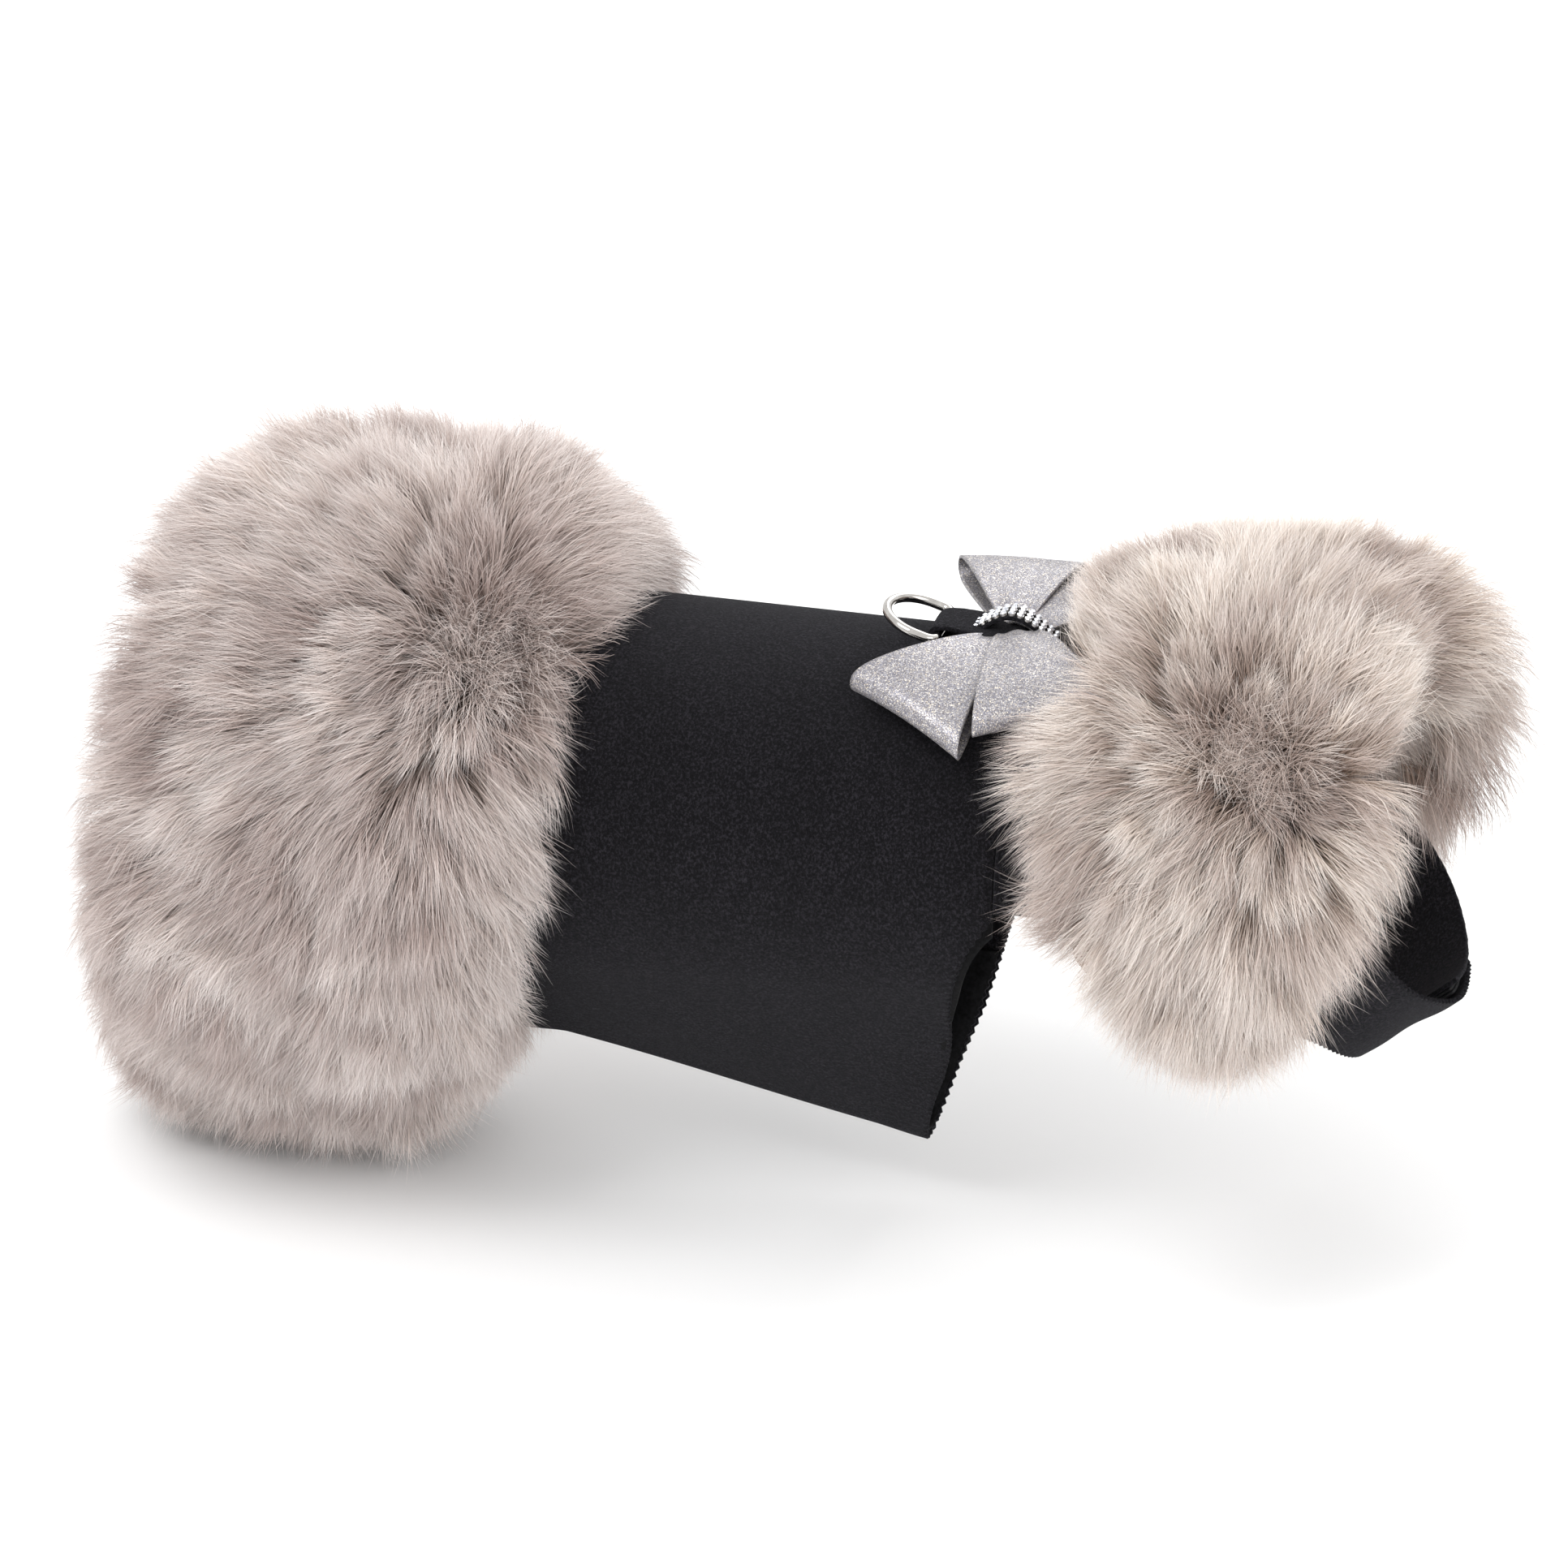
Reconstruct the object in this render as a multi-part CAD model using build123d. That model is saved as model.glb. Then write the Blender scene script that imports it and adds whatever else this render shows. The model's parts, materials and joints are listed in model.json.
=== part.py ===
"""A small dog's winter coat: a faux-suede wrap body with a faux-fur hem band and collar, a leash ring on the
back, a ribbon bow with a crystal band, and touch fasteners under the belly and across the chest.

Millimetres. +X runs along the back towards the head, +Y is the wearer's left and +Z is up. The origin is where
the coat's lining lies on the dog's back, halfway along the back panel. Each piece is written to parts/NODE.step.
"""

from build123d import *
import math
import os

# ---- cloth thicknesses -------------------------------------------------------------------------------------
SUEDE = 1.4
LINING = 0.8
BACKING = 1.5
RIBBON = 0.9
FASTENER = 0.9

# ---- torso: a tube whose section is a round back over a narrow belly fold ----------------------------------
REAR_X = -181.0
REAR_LEAN = 0.17
LEAN_Z = 96.0
ARMHOLE_X = 64.0
SPINE_Z = 158.0
BACK_RADIUS = 57.0
BELLY_RADIUS = 10.0
BELLY_FRONT = (33.0, 3.0)
BELLY_RISE = 0.176
BELLY_LEVEL_X = -75.0
SLIT_WIDTH = 5.0
SLIT_Z = 50.0

# ---- neck: the yoke narrows from the shoulders to the neckline ---------------------------------------------
YOKE_LOW_Z = 102.0
NECK_X = 136.0
NECK_RADIUS = 47.0
NECK_TOP_X = 120.0
NECKLINE_LEAN = 15.0

# ---- faux fur ------------------------------------------------------------------------------------------------
HEM_BAND = (REAR_X, -81.0)
HEM_PILE = 28.0
HEM_GAP = 9.0
COLLAR_CENTRE = (128.0, 0.0, 110.0)
COLLAR_LEAN = 7.0
COLLAR_HALF_WIDTH = 43.0
COLLAR_HANG = 46.0
COLLAR_OUTER = 80.0
COLLAR_INNER = 44.0
COLLAR_END = 140.0

# ---- leash ring and its tab ----------------------------------------------------------------------------------
RING_BAR = (36.0, 0.0, SPINE_Z + 4.4)
RING_WIRE = 2.8
RING_WIDTH = 22.0
RING_DEPTH = 16.8
RING_CORNER = 3.0
RING_LEAN = 17.0
TAB_WIDTH = 16.0
TAB_FOLD = 0.9
TAB_TAIL = 26.0

# ---- bow -----------------------------------------------------------------------------------------------------
BOW_CENTRE = (56.0, 0.0, SPINE_Z + 4.0)
LOOP_START = 6.5
LOOP_END = 46.0
LOOP_WIDTH = 39.0
LOOP_HEIGHT = 9.0
LOOP_DROP = 13.0
LOOP_TURNS = {
    "bow_loop_right_rear": -118.0,
    "bow_loop_right_front": -62.0,
    "bow_loop_left_rear": 112.0,
    "bow_loop_left_front": 57.0,
}
BAND_WIDTH = 7.4
BAND_RISE = 7.4
BAND_SPAN = 25.0
BAND_THICK = 1.1
STONE = 1.9
STONE_PITCH = 2.25
STONE_ROWS = 3

# ---- chest straps: bands of an elliptical ring that leans forward below the neck ----------------------------
CHEST_CENTRE = (136.0, 0.0, 109.0)
CHEST_LEAN = 38.0
CHEST_SIDE = 44.0
CHEST_DROP = 60.0
CHEST_HALF_WIDTH = 18.0
CHEST_HINGE = 222.0
CHEST_TAB_END = 292.0

# ---- belly flap ----------------------------------------------------------------------------------------------
FLAP_REAR_X = -64.0
FLAP_HINGE_Z = 62.0
FLAP_OUT = 2.4
FLAP_CLEAR = 0.5
FLAP_END_Y = 7.0

# ---- where the coat lies on the dog's back -------------------------------------------------------------------
WEARER = ((REAR_X + ARMHOLE_X) / 2, 0.0, SPINE_Z - SUEDE - LINING)

FAR = 400.0  # longer than the coat, for cutting blocks


nodes = {}


def save(name, *solids):
    """Keeps one node, as one solid or as a group of separate solids."""
    nodes[name] = list(solids)


def write_all():
    """Moves the coat so that the origin is on the dog's back, and writes every node."""
    shift = Pos(-WEARER[0], -WEARER[1], -WEARER[2])
    os.makedirs("parts", exist_ok=True)
    for name, solids in nodes.items():
        moved = [shift * solid for solid in solids]
        shape = moved[0] if len(moved) == 1 else Compound(children=moved)
        export_step(shape, f"parts/{name}.step")


def belly_z(x):
    """Height of the belly fold's underside at x: it rises to the rear, then runs level under the hem."""
    return BELLY_FRONT[1] - BELLY_RISE * (max(x, BELLY_LEVEL_X) - BELLY_FRONT[0])


def drop_section(x, top_z, radius, low_z, low_radius, grow):
    """A round top joined by tangent lines to a smaller round foot, in the plane across the coat at x."""
    top = top_z - radius
    foot = low_z + low_radius
    tilt = math.asin((radius - low_radius) / (top - foot))
    big = radius + grow
    small = low_radius + grow
    right_top = (x, -big * math.cos(tilt), top - big * math.sin(tilt))
    left_top = (x, big * math.cos(tilt), top - big * math.sin(tilt))
    right_foot = (x, -small * math.cos(tilt), foot - small * math.sin(tilt))
    left_foot = (x, small * math.cos(tilt), foot - small * math.sin(tilt))
    edges = [
        Edge.make_three_point_arc(right_top, (x, 0, top + big), left_top),
        Edge.make_line(left_top, left_foot),
        Edge.make_three_point_arc(left_foot, (x, 0, foot - small), right_foot),
        Edge.make_line(right_foot, right_top),
    ]
    return Face(Wire(edges))


def torso_section(x, grow=0.0):
    return drop_section(x, SPINE_Z, BACK_RADIUS, belly_z(x), BELLY_RADIUS, grow)


def leaned(x, z):
    """Where x comes at height z on something that leans back with the hem."""
    return x + REAR_LEAN * (z - LEAN_Z)


def leaning_section(x, grow):
    """The torso's section under the hem, leaned back: its round parts are splines through points on their arcs."""
    low = belly_z(x)
    top, foot = SPINE_Z - BACK_RADIUS, low + BELLY_RADIUS
    tilt = math.asin((BACK_RADIUS - BELLY_RADIUS) / (top - foot))
    quarter = math.pi / 2

    def arc(radius, centre, start, end, steps):
        angles = [start + (end - start) * i / steps for i in range(steps + 1)]
        return [(radius * math.sin(t), centre + radius * math.cos(t)) for t in angles]

    back = arc(BACK_RADIUS + grow, top, -quarter - tilt, quarter + tilt, 16)
    under = arc(BELLY_RADIUS + grow, foot, quarter + tilt, 2 * math.pi - quarter - tilt, 8)
    back, under = [[(leaned(x, z), y, z) for y, z in part] for part in (back, under)]
    edges = [
        Edge.make_spline(back),
        Edge.make_line(back[-1], under[0]),
        Edge.make_spline(under),
        Edge.make_line(under[-1], back[0]),
    ]
    return Face(Wire(edges))


def torso(grow=0.0, rear=REAR_X, front=ARMHOLE_X):
    """The filled torso shape, grown outwards by grow."""
    stations = [REAR_X - 80, BELLY_LEVEL_X, ARMHOLE_X + 20]
    filled = loft([torso_section(x, grow) for x in stations], ruled=True)
    return filled & block(rear, front, -FAR, FAR, -FAR, FAR)


def yoke_section(x, grow=0.0):
    share = (x - ARMHOLE_X) / (NECK_X - ARMHOLE_X)
    radius = BACK_RADIUS + share * (NECK_RADIUS - BACK_RADIUS)
    return drop_section(x, SPINE_Z, radius, SPINE_Z - 2.6 * radius, 0.5 * radius, grow)


def yoke(grow=0.0, rear=ARMHOLE_X, front=NECK_X + 34.0):
    """The filled neck shape. It runs on past the neckline, where the collar stands free."""
    filled = loft([yoke_section(ARMHOLE_X - 10, grow), yoke_section(NECK_X + 60, grow)], ruled=True)
    return filled & block(rear, front, -FAR, FAR, -FAR, FAR)


def side_profile(points, closing):
    """A solid FAR wide on both sides of the middle plane, bounded by a curve and straight closing runs."""
    curve = Edge.make_spline([(x, 0, z) for x, z in points])
    corners = [points[-1], *closing, points[0]]
    runs = [Edge.make_line((a[0], 0, a[1]), (b[0], 0, b[1])) for a, b in zip(corners, corners[1:])]
    return extrude(Face(Wire([curve, *runs])), amount=FAR, dir=(0, 1, 0), both=True)


def block(x0, x1, y0, y1, z0, z1):
    return Pos((x0 + x1) / 2, (y0 + y1) / 2, (z0 + z1) / 2) * Box(x1 - x0, y1 - y0, z1 - z0)


def leg_opening():
    """What is cut away in front of the belly for the front legs."""
    x, z = BELLY_FRONT
    edge = [(x - 2, z - 12), (x, z), (x + 11, z + 39), (x + 20, z + 70), (x + 29, z + 89), (x + 45, YOKE_LOW_Z)]
    return side_profile(edge, [(FAR, YOKE_LOW_Z), (FAR, z - 12)])


def slit(width, rear, front):
    """The opening line along the left of the belly, so that the coat can be laid flat."""
    return block(rear, front, 2, FAR, SLIT_Z - width / 2, SLIT_Z + width / 2)


def neckline():
    """What is cut away in front of the leaning neckline."""
    cutter = Pos(FAR / 2, 0, 0) * Box(FAR, FAR, FAR)
    return Pos(NECK_TOP_X, 0, SPINE_Z) * (Rot(0, -NECKLINE_LEAN, 0) * cutter)


def behind(x):
    """Everything behind a plane that leans back with the hem, at x on the lean's own height."""
    corners = [(leaned(x, -FAR), -FAR), (leaned(x, FAR), FAR), (-3 * FAR, FAR), (-3 * FAR, -FAR)]
    profile = [Edge.make_line((a[0], 0, a[1]), (b[0], 0, b[1])) for a, b in zip(corners, corners[1:] + corners[:1])]
    return extrude(Face(Wire(profile)), amount=FAR, dir=(0, 1, 0), both=True)


# ---- torso and yoke ------------------------------------------------------------------------------------------
def torso_layer(outer, inner):
    layer = torso(outer, REAR_X - 60) - torso(inner, REAR_X - 61, ARMHOLE_X + 1) - behind(REAR_X)
    return layer - leg_opening() - slit(SLIT_WIDTH, REAR_X - 70, FAR)


def yoke_layer(outer, inner):
    layer = yoke(outer) - yoke(inner, ARMHOLE_X - 1, NECK_X + 36)
    low = block(-FAR, FAR, -FAR, FAR, -FAR, YOKE_LOW_Z)
    return layer - low - neckline()


def body():
    save("back_panel", torso_layer(0, -SUEDE))
    save("body_lining", torso_layer(-SUEDE, -SUEDE - LINING))
    save("neck_yoke", yoke_layer(0, -SUEDE))
    save("yoke_lining", yoke_layer(-SUEDE, -SUEDE - LINING))


# ---- fur -------------------------------------------------------------------------------------------------------
def hem_band():
    """The fur band round the rear edge: a woven backing on the suede, and the pile's volume over it."""
    rear, front = HEM_BAND
    middle = (rear + front) / 2
    reach = (front - rear) / 2 + 12
    stations = [-1.0, -0.93, -0.72, -0.38, 0.0, 0.38, 0.72, 0.93, 1.0]
    sections = []
    for s in stations:
        height = BACKING + 0.6 + (HEM_PILE - BACKING - 0.6) * math.sqrt(1 - s * s)
        sections.append(leaning_section(middle + s * reach, height))
    opening = block(-FAR, FAR, 0, FAR, SLIT_Z - HEM_GAP / 2, SLIT_Z + HEM_GAP / 2)
    pile = loft(sections) - torso(BACKING, REAR_X - 70, ARMHOLE_X) - opening
    backing = torso(BACKING, REAR_X - 60, ARMHOLE_X) - torso(0, REAR_X - 61, ARMHOLE_X + 1)
    backing = (backing - behind(rear)) & behind(front)
    save("hem_fur_backing", backing - opening)
    save("hem_fur_pile", pile)


def collar_frame():
    """A plane at the collar's centre, with its X along the neck and its Y across the coat."""
    lean = math.radians(COLLAR_LEAN)
    return Plane(COLLAR_CENTRE, x_dir=(math.cos(lean), 0, math.sin(lean)), z_dir=(-math.sin(lean), 0, math.cos(lean)))


def collar_volume():
    """The pile's outer shape: a rounded section turned about the neck's axis, open under the throat."""
    frame = collar_frame()
    half = COLLAR_HALF_WIDTH
    low, high = COLLAR_INNER, COLLAR_OUTER
    shoulder = low + 0.45 * (high - low)
    outline = [
        Edge.make_line((-half, 0, low), (half, 0, low)),
        Edge.make_line((half, 0, low), (half, 0, shoulder)),
        Edge.make_spline(
            [(half, 0, shoulder), (0.72 * half, 0, high - 6.5), (0, 0, high), (-0.72 * half, 0, high - 6.5),
             (-half, 0, shoulder)]
        ),
        Edge.make_line((-half, 0, shoulder), (-half, 0, low)),
    ]
    section = Rot(COLLAR_END, 0, 0) * Face(Wire(outline))
    ring = revolve(section, axis=Axis.X, revolution_arc=-2 * COLLAR_END)
    points = extrude(Plane.XZ * Ellipse(half + 2, COLLAR_HANG), amount=FAR, both=True)
    return frame.location * (ring & (points + block(-FAR, FAR, -FAR, FAR, 0, FAR)))


def collar():
    volume = collar_volume()
    straps = chest_ring(4.4, -2.6, 150, 390, CHEST_HALF_WIDTH + 1.0)
    backing = (volume & (yoke(BACKING) - yoke(0, ARMHOLE_X - 1, NECK_X + 36))) - neckline() - straps
    pile = volume - yoke(BACKING) - straps
    for turn in LOOP_TURNS.values():
        pile = pile - loop_wedge(-0.5, turn)
    save("collar_fur_backing", *[s for s in backing.solids() if s.volume > 20])
    save("collar_fur_pile", max(pile.solids(), key=lambda s: s.volume))


# ---- leash ring ----------------------------------------------------------------------------------------------
def ring():
    """A D-shaped ring: a straight bar in the tab, two short legs and a half-round end."""
    half = RING_WIDTH / 2
    leg = RING_DEPTH - half
    path = Wire(
        [
            Edge.make_line((0, -half + RING_CORNER, 0), (0, half - RING_CORNER, 0)),
            Edge.make_tangent_arc((0, half - RING_CORNER, 0), (0, 1, 0), (-RING_CORNER, half, 0)),
            Edge.make_line((-RING_CORNER, half, 0), (-leg, half, 0)),
            Edge.make_three_point_arc((-leg, half, 0), (-RING_DEPTH, 0, 0), (-leg, -half, 0)),
            Edge.make_line((-leg, -half, 0), (-RING_CORNER, -half, 0)),
            Edge.make_tangent_arc((-RING_CORNER, -half, 0), (1, 0, 0), (0, -half + RING_CORNER, 0)),
        ]
    )
    wire = sweep(Plane.XZ * Circle(RING_WIRE / 2), path=path)
    save("leash_ring", Pos(*RING_BAR) * (Rot(0, RING_LEAN, 0) * wire))


def ring_tab():
    """A suede tab folded round the ring's bar and stitched down under the bow."""
    x, _, z = RING_BAR
    inner = RING_WIRE / 2 + 0.15
    outer = inner + TAB_FOLD
    floor = SPINE_Z + 0.35
    eye = Pos(x, 0, z) * (Rot(90, 0, 0) * Cylinder(outer, TAB_WIDTH))
    plies = block(x, x + TAB_TAIL, -TAB_WIDTH / 2, TAB_WIDTH / 2, floor, floor + 2 * TAB_FOLD)
    lift = block(x, x + outer, -TAB_WIDTH / 2, TAB_WIDTH / 2, floor, z)
    bore = Pos(x, 0, z) * (Rot(90, 0, 0) * Cylinder(inner, TAB_WIDTH + 2))
    tab = eye + plies + lift - bore - torso(0.02, -60, ARMHOLE_X + 6)
    save("ring_tab", max(tab.solids(), key=lambda s: s.volume))


def anchor_web():
    """The webbing under the lining that carries the leash's pull across the shoulders."""
    under = -SUEDE - LINING
    web = torso(under) - torso(under - 1.2, REAR_X - 1, ARMHOLE_X + 1)
    keep = block(RING_BAR[0] - 4, RING_BAR[0] + 16, -40, 40, SPINE_Z - 30, SPINE_Z + 5)
    save("ring_anchor_web", web & keep)


# ---- bow -------------------------------------------------------------------------------------------------------
def loop_outline(inset):
    """The side outline of a loop, drawn inwards by inset: flat plies that meet in a round fold."""
    fold = LOOP_HEIGHT / 2 - inset
    near, far = LOOP_START + 2 * inset, LOOP_END - LOOP_HEIGHT / 2
    low, high = -1.0 + inset, 1.0 + (1 - 2 * inset) * 0.5
    edges = [
        Edge.make_line((near, 0, low), (far, 0, -fold)),
        Edge.make_three_point_arc((far, 0, -fold), (far + fold, 0, 0), (far, 0, fold)),
        Edge.make_line((far, 0, fold), (near, 0, high)),
        Edge.make_line((near, 0, high), (near, 0, low)),
    ]
    return Face(Wire(edges))


def loop_wedge(inset, turn):
    """A filled loop shape at its turn round the knot, drawn inwards by inset."""
    filled = extrude(loop_outline(inset), amount=LOOP_WIDTH, dir=(0, 1, 0), both=True)
    w = LOOP_WIDTH / 2 - min(inset, 0)
    n = LOOP_WIDTH / 2 * LOOP_START / LOOP_END - min(inset, 0)
    plan = Polyline((LOOP_START - 1, -n), (LOOP_END + 1, -w), (LOOP_END + 1, w), (LOOP_START - 1, n), close=True)
    fan = extrude(make_face(plan), amount=30, both=True)
    return Pos(*BOW_CENTRE) * (Rot(0, 0, turn) * (Rot(0, LOOP_DROP, 0) * (filled & fan)))


def bow_loop(turn):
    """One ribbon loop: a flat ribbon folded back on itself, narrow at the knot and wide at the fold."""
    filled = extrude(loop_outline(0), amount=LOOP_WIDTH, dir=(0, 1, 0), both=True)
    hollow = extrude(loop_outline(RIBBON), amount=LOOP_WIDTH + 1, dir=(0, 1, 0), both=True)
    w = LOOP_WIDTH / 2
    n = w * LOOP_START / LOOP_END
    plan = Polyline((LOOP_START - 1, -n), (LOOP_END + 1, -w), (LOOP_END + 1, w), (LOOP_START - 1, n), close=True)
    fan = extrude(make_face(plan), amount=30, both=True)
    ribbon = (filled - hollow) & fan
    return Pos(*BOW_CENTRE) * (Rot(0, 0, turn) * (Rot(0, LOOP_DROP, 0) * ribbon))


def bow():
    x, _, z = RING_BAR
    half = TAB_WIDTH / 2 + 0.4
    tab_room = block(x - 4, x + TAB_TAIL + 1, -half, half, SPINE_Z - 5, SPINE_Z + 0.35 + 2 * TAB_FOLD + 0.4)
    for name, turn in LOOP_TURNS.items():
        loop = bow_loop(turn)
        for room in (torso(0.6, -60, ARMHOLE_X + 1), yoke(BACKING + 0.4), tab_room):
            loop = loop - room
        save(name, max(loop.solids(), key=lambda s: s.volume))


def band_curve(height):
    """The crystal band's arch over the knot, height above its lower face."""
    x, _, _ = BOW_CENTRE
    half = BAND_SPAN / 2
    base = SPINE_Z + 2.4 + height
    rise = BAND_RISE
    return Edge.make_spline(
        [(x - half, 0, base), (x - 0.55 * half, 0, base + 0.62 * rise), (x, 0, base + rise),
         (x + 0.55 * half, 0, base + 0.62 * rise), (x + half, 0, base)],
        tangents=[(1, 0, 0.9), (1, 0, -0.9)],
    )


def crystal_band():
    """The band over the knot, its metal cups in rows, and a cut stone in each cup."""
    low, high = band_curve(0), band_curve(BAND_THICK)
    ends = [Edge.make_line(low @ 1, high @ 1), Edge.make_line(high @ 0, low @ 0)]
    strip = extrude(Face(Wire([low, high, *ends])), amount=BAND_WIDTH / 2, dir=(0, 1, 0), both=True)
    save("crystal_band", strip)
    count = int(high.length / STONE_PITCH)
    cups, stones = [], []
    for i in range(count):
        t = (i + 0.5) / count
        at, along = high @ t, high % t
        for row in range(STONE_ROWS):
            y = (row - (STONE_ROWS - 1) / 2) * STONE_PITCH
            seat = Plane((at.X, y, at.Z), x_dir=(0, 1, 0), z_dir=(-along.Z, 0, along.X))
            cup = Pos(0, 0, 0.5) * Cylinder(STONE / 2 + 0.1, 0.7)
            crown = Pos(0, 0, 0.85 + 0.35) * Cone(STONE / 2, STONE * 0.28, 0.7)
            cups.append(seat.location * cup)
            stones.append(seat.location * crown)
    save("crystal_cups", *cups)
    save("crystals", *stones)


# ---- chest straps --------------------------------------------------------------------------------------------
def chest_plane():
    lean = math.radians(CHEST_LEAN)
    axis = (math.cos(lean), 0, math.sin(lean))
    return Plane(CHEST_CENTRE, x_dir=(0, 1, 0), z_dir=axis)


def chest_point(angle, grow=0.0, along=0.0):
    """A point on the chest ring, with angle 180 at the right side, 270 under the throat and 360 at the left."""
    a = math.radians(angle)
    local = Vector((CHEST_SIDE + grow) * math.cos(a), (CHEST_DROP + grow) * math.sin(a), along)
    return chest_plane().from_local_coords(local)


def chest_ring(outer, inner, start, end, half_width):
    """A band of the chest ring between two angles and two offsets from its ellipse."""
    steps = 9
    turn = [math.radians(start + (end - start) * i / (steps - 1)) for i in range(steps)]
    far = [((CHEST_SIDE + outer) * math.cos(a), (CHEST_DROP + outer) * math.sin(a), 0) for a in turn]
    near = [((CHEST_SIDE + inner) * math.cos(a), (CHEST_DROP + inner) * math.sin(a), 0) for a in turn]
    edges = [
        Edge.make_spline(far),
        Edge.make_line(far[-1], near[-1]),
        Edge.make_spline(near[::-1]),
        Edge.make_line(near[0], far[0]),
    ]
    band = extrude(Face(Wire(edges)), amount=half_width, dir=(0, 0, 1), both=True)
    return chest_plane().location * band


def chest_straps():
    """The left strap lies inside, the right one closes over it. Each carries one half of the touch fastener."""
    yoke_keep = yoke(0.15) & block(-FAR, FAR, -FAR, FAR, YOKE_LOW_Z - 0.1, FAR)
    left = chest_ring(0, -SUEDE, 262, 352, CHEST_HALF_WIDTH) - yoke_keep
    save("chest_strap_left", max(left.solids(), key=lambda s: s.volume))
    loop = chest_ring(FASTENER + 0.05, 0.05, 264, 286, CHEST_HALF_WIDTH - 4)
    save("chest_loop_strip", loop)
    over = 2 * FASTENER + 0.4
    root = chest_ring(over + SUEDE, over, 190, CHEST_HINGE - 1.2, CHEST_HALF_WIDTH) - yoke_keep
    save("chest_strap_root", max(root.solids(), key=lambda s: s.volume))
    tab = chest_ring(over + SUEDE, over, CHEST_HINGE, CHEST_TAB_END, CHEST_HALF_WIDTH - 1.5)
    save("chest_strap_tab", tab)
    hook = chest_ring(over - 0.05, over - 0.05 - FASTENER, 264, 286, CHEST_HALF_WIDTH - 4)
    save("chest_hook_strip", hook)


# ---- belly flap ----------------------------------------------------------------------------------------------
def belly_patch(outer, inner, rear, front, low_y, high_z, low_z=-FAR):
    """A patch of cloth outside the left of the belly, between two offsets from the torso."""
    layer = torso(outer, REAR_X, ARMHOLE_X) - torso(inner, REAR_X - 1, ARMHOLE_X + 1)
    keep = block(rear, front, low_y, FAR, low_z, high_z)
    return (layer & keep) - leg_opening()


def belly_flap():
    anchor = belly_patch(SUEDE, 0, FLAP_REAR_X, ARMHOLE_X, 5, FLAP_HINGE_Z + 20, FLAP_HINGE_Z + FLAP_CLEAR)
    save("belly_flap_seam", anchor)
    flap = belly_patch(FLAP_OUT + SUEDE, FLAP_OUT, FLAP_REAR_X, ARMHOLE_X, FLAP_END_Y, FLAP_HINGE_Z)
    save("belly_flap", flap)
    loop = belly_patch(FASTENER, 0, FLAP_REAR_X + 12, BELLY_FRONT[0] - 6, 9, SLIT_Z - 4)
    save("belly_loop_strip", loop)
    hook = belly_patch(FLAP_OUT, FLAP_OUT - FASTENER, FLAP_REAR_X + 12, BELLY_FRONT[0] - 6, 9, SLIT_Z - 4)
    save("belly_hook_strip", hook)


body()
hem_band()
collar()
ring()
ring_tab()
anchor_web()
bow()
crystal_band()
chest_straps()
belly_flap()
write_all()
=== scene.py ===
import json
import math

import bmesh
import bpy
import numpy as np
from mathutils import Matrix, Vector
from mathutils.kdtree import KDTree

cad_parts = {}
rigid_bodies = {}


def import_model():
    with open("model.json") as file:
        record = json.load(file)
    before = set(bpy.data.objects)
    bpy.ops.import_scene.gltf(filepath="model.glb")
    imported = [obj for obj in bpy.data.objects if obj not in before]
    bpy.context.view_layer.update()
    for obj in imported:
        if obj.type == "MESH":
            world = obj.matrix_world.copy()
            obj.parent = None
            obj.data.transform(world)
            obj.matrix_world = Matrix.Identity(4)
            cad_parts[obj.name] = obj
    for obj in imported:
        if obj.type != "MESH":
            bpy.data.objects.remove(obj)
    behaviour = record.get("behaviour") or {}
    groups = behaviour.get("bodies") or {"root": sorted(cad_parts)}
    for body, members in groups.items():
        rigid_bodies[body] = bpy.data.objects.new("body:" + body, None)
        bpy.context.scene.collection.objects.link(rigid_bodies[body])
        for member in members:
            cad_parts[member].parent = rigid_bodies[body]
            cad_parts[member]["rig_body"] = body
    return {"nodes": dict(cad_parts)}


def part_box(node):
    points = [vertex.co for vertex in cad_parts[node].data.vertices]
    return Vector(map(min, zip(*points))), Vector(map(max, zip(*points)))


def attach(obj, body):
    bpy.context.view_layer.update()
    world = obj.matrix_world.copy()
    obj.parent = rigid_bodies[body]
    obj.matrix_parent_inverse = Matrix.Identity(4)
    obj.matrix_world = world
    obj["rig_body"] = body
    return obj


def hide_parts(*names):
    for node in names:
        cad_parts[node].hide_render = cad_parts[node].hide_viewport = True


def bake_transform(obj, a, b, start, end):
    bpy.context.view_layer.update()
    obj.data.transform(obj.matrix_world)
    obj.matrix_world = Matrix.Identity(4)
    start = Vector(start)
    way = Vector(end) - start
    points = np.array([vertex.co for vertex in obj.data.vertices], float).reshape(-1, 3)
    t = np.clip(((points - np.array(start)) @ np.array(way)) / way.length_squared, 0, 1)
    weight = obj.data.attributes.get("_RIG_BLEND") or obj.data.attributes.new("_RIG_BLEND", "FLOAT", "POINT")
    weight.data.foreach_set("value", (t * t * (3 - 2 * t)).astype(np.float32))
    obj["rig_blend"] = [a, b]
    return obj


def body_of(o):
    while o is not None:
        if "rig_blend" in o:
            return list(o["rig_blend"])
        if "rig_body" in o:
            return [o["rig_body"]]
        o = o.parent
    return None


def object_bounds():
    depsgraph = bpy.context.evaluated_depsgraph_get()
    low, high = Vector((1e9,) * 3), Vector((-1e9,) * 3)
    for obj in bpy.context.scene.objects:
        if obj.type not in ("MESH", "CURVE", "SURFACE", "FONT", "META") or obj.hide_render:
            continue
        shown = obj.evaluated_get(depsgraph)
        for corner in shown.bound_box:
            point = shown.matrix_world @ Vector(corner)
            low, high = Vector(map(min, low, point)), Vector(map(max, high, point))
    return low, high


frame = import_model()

MM = 0.001

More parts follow.
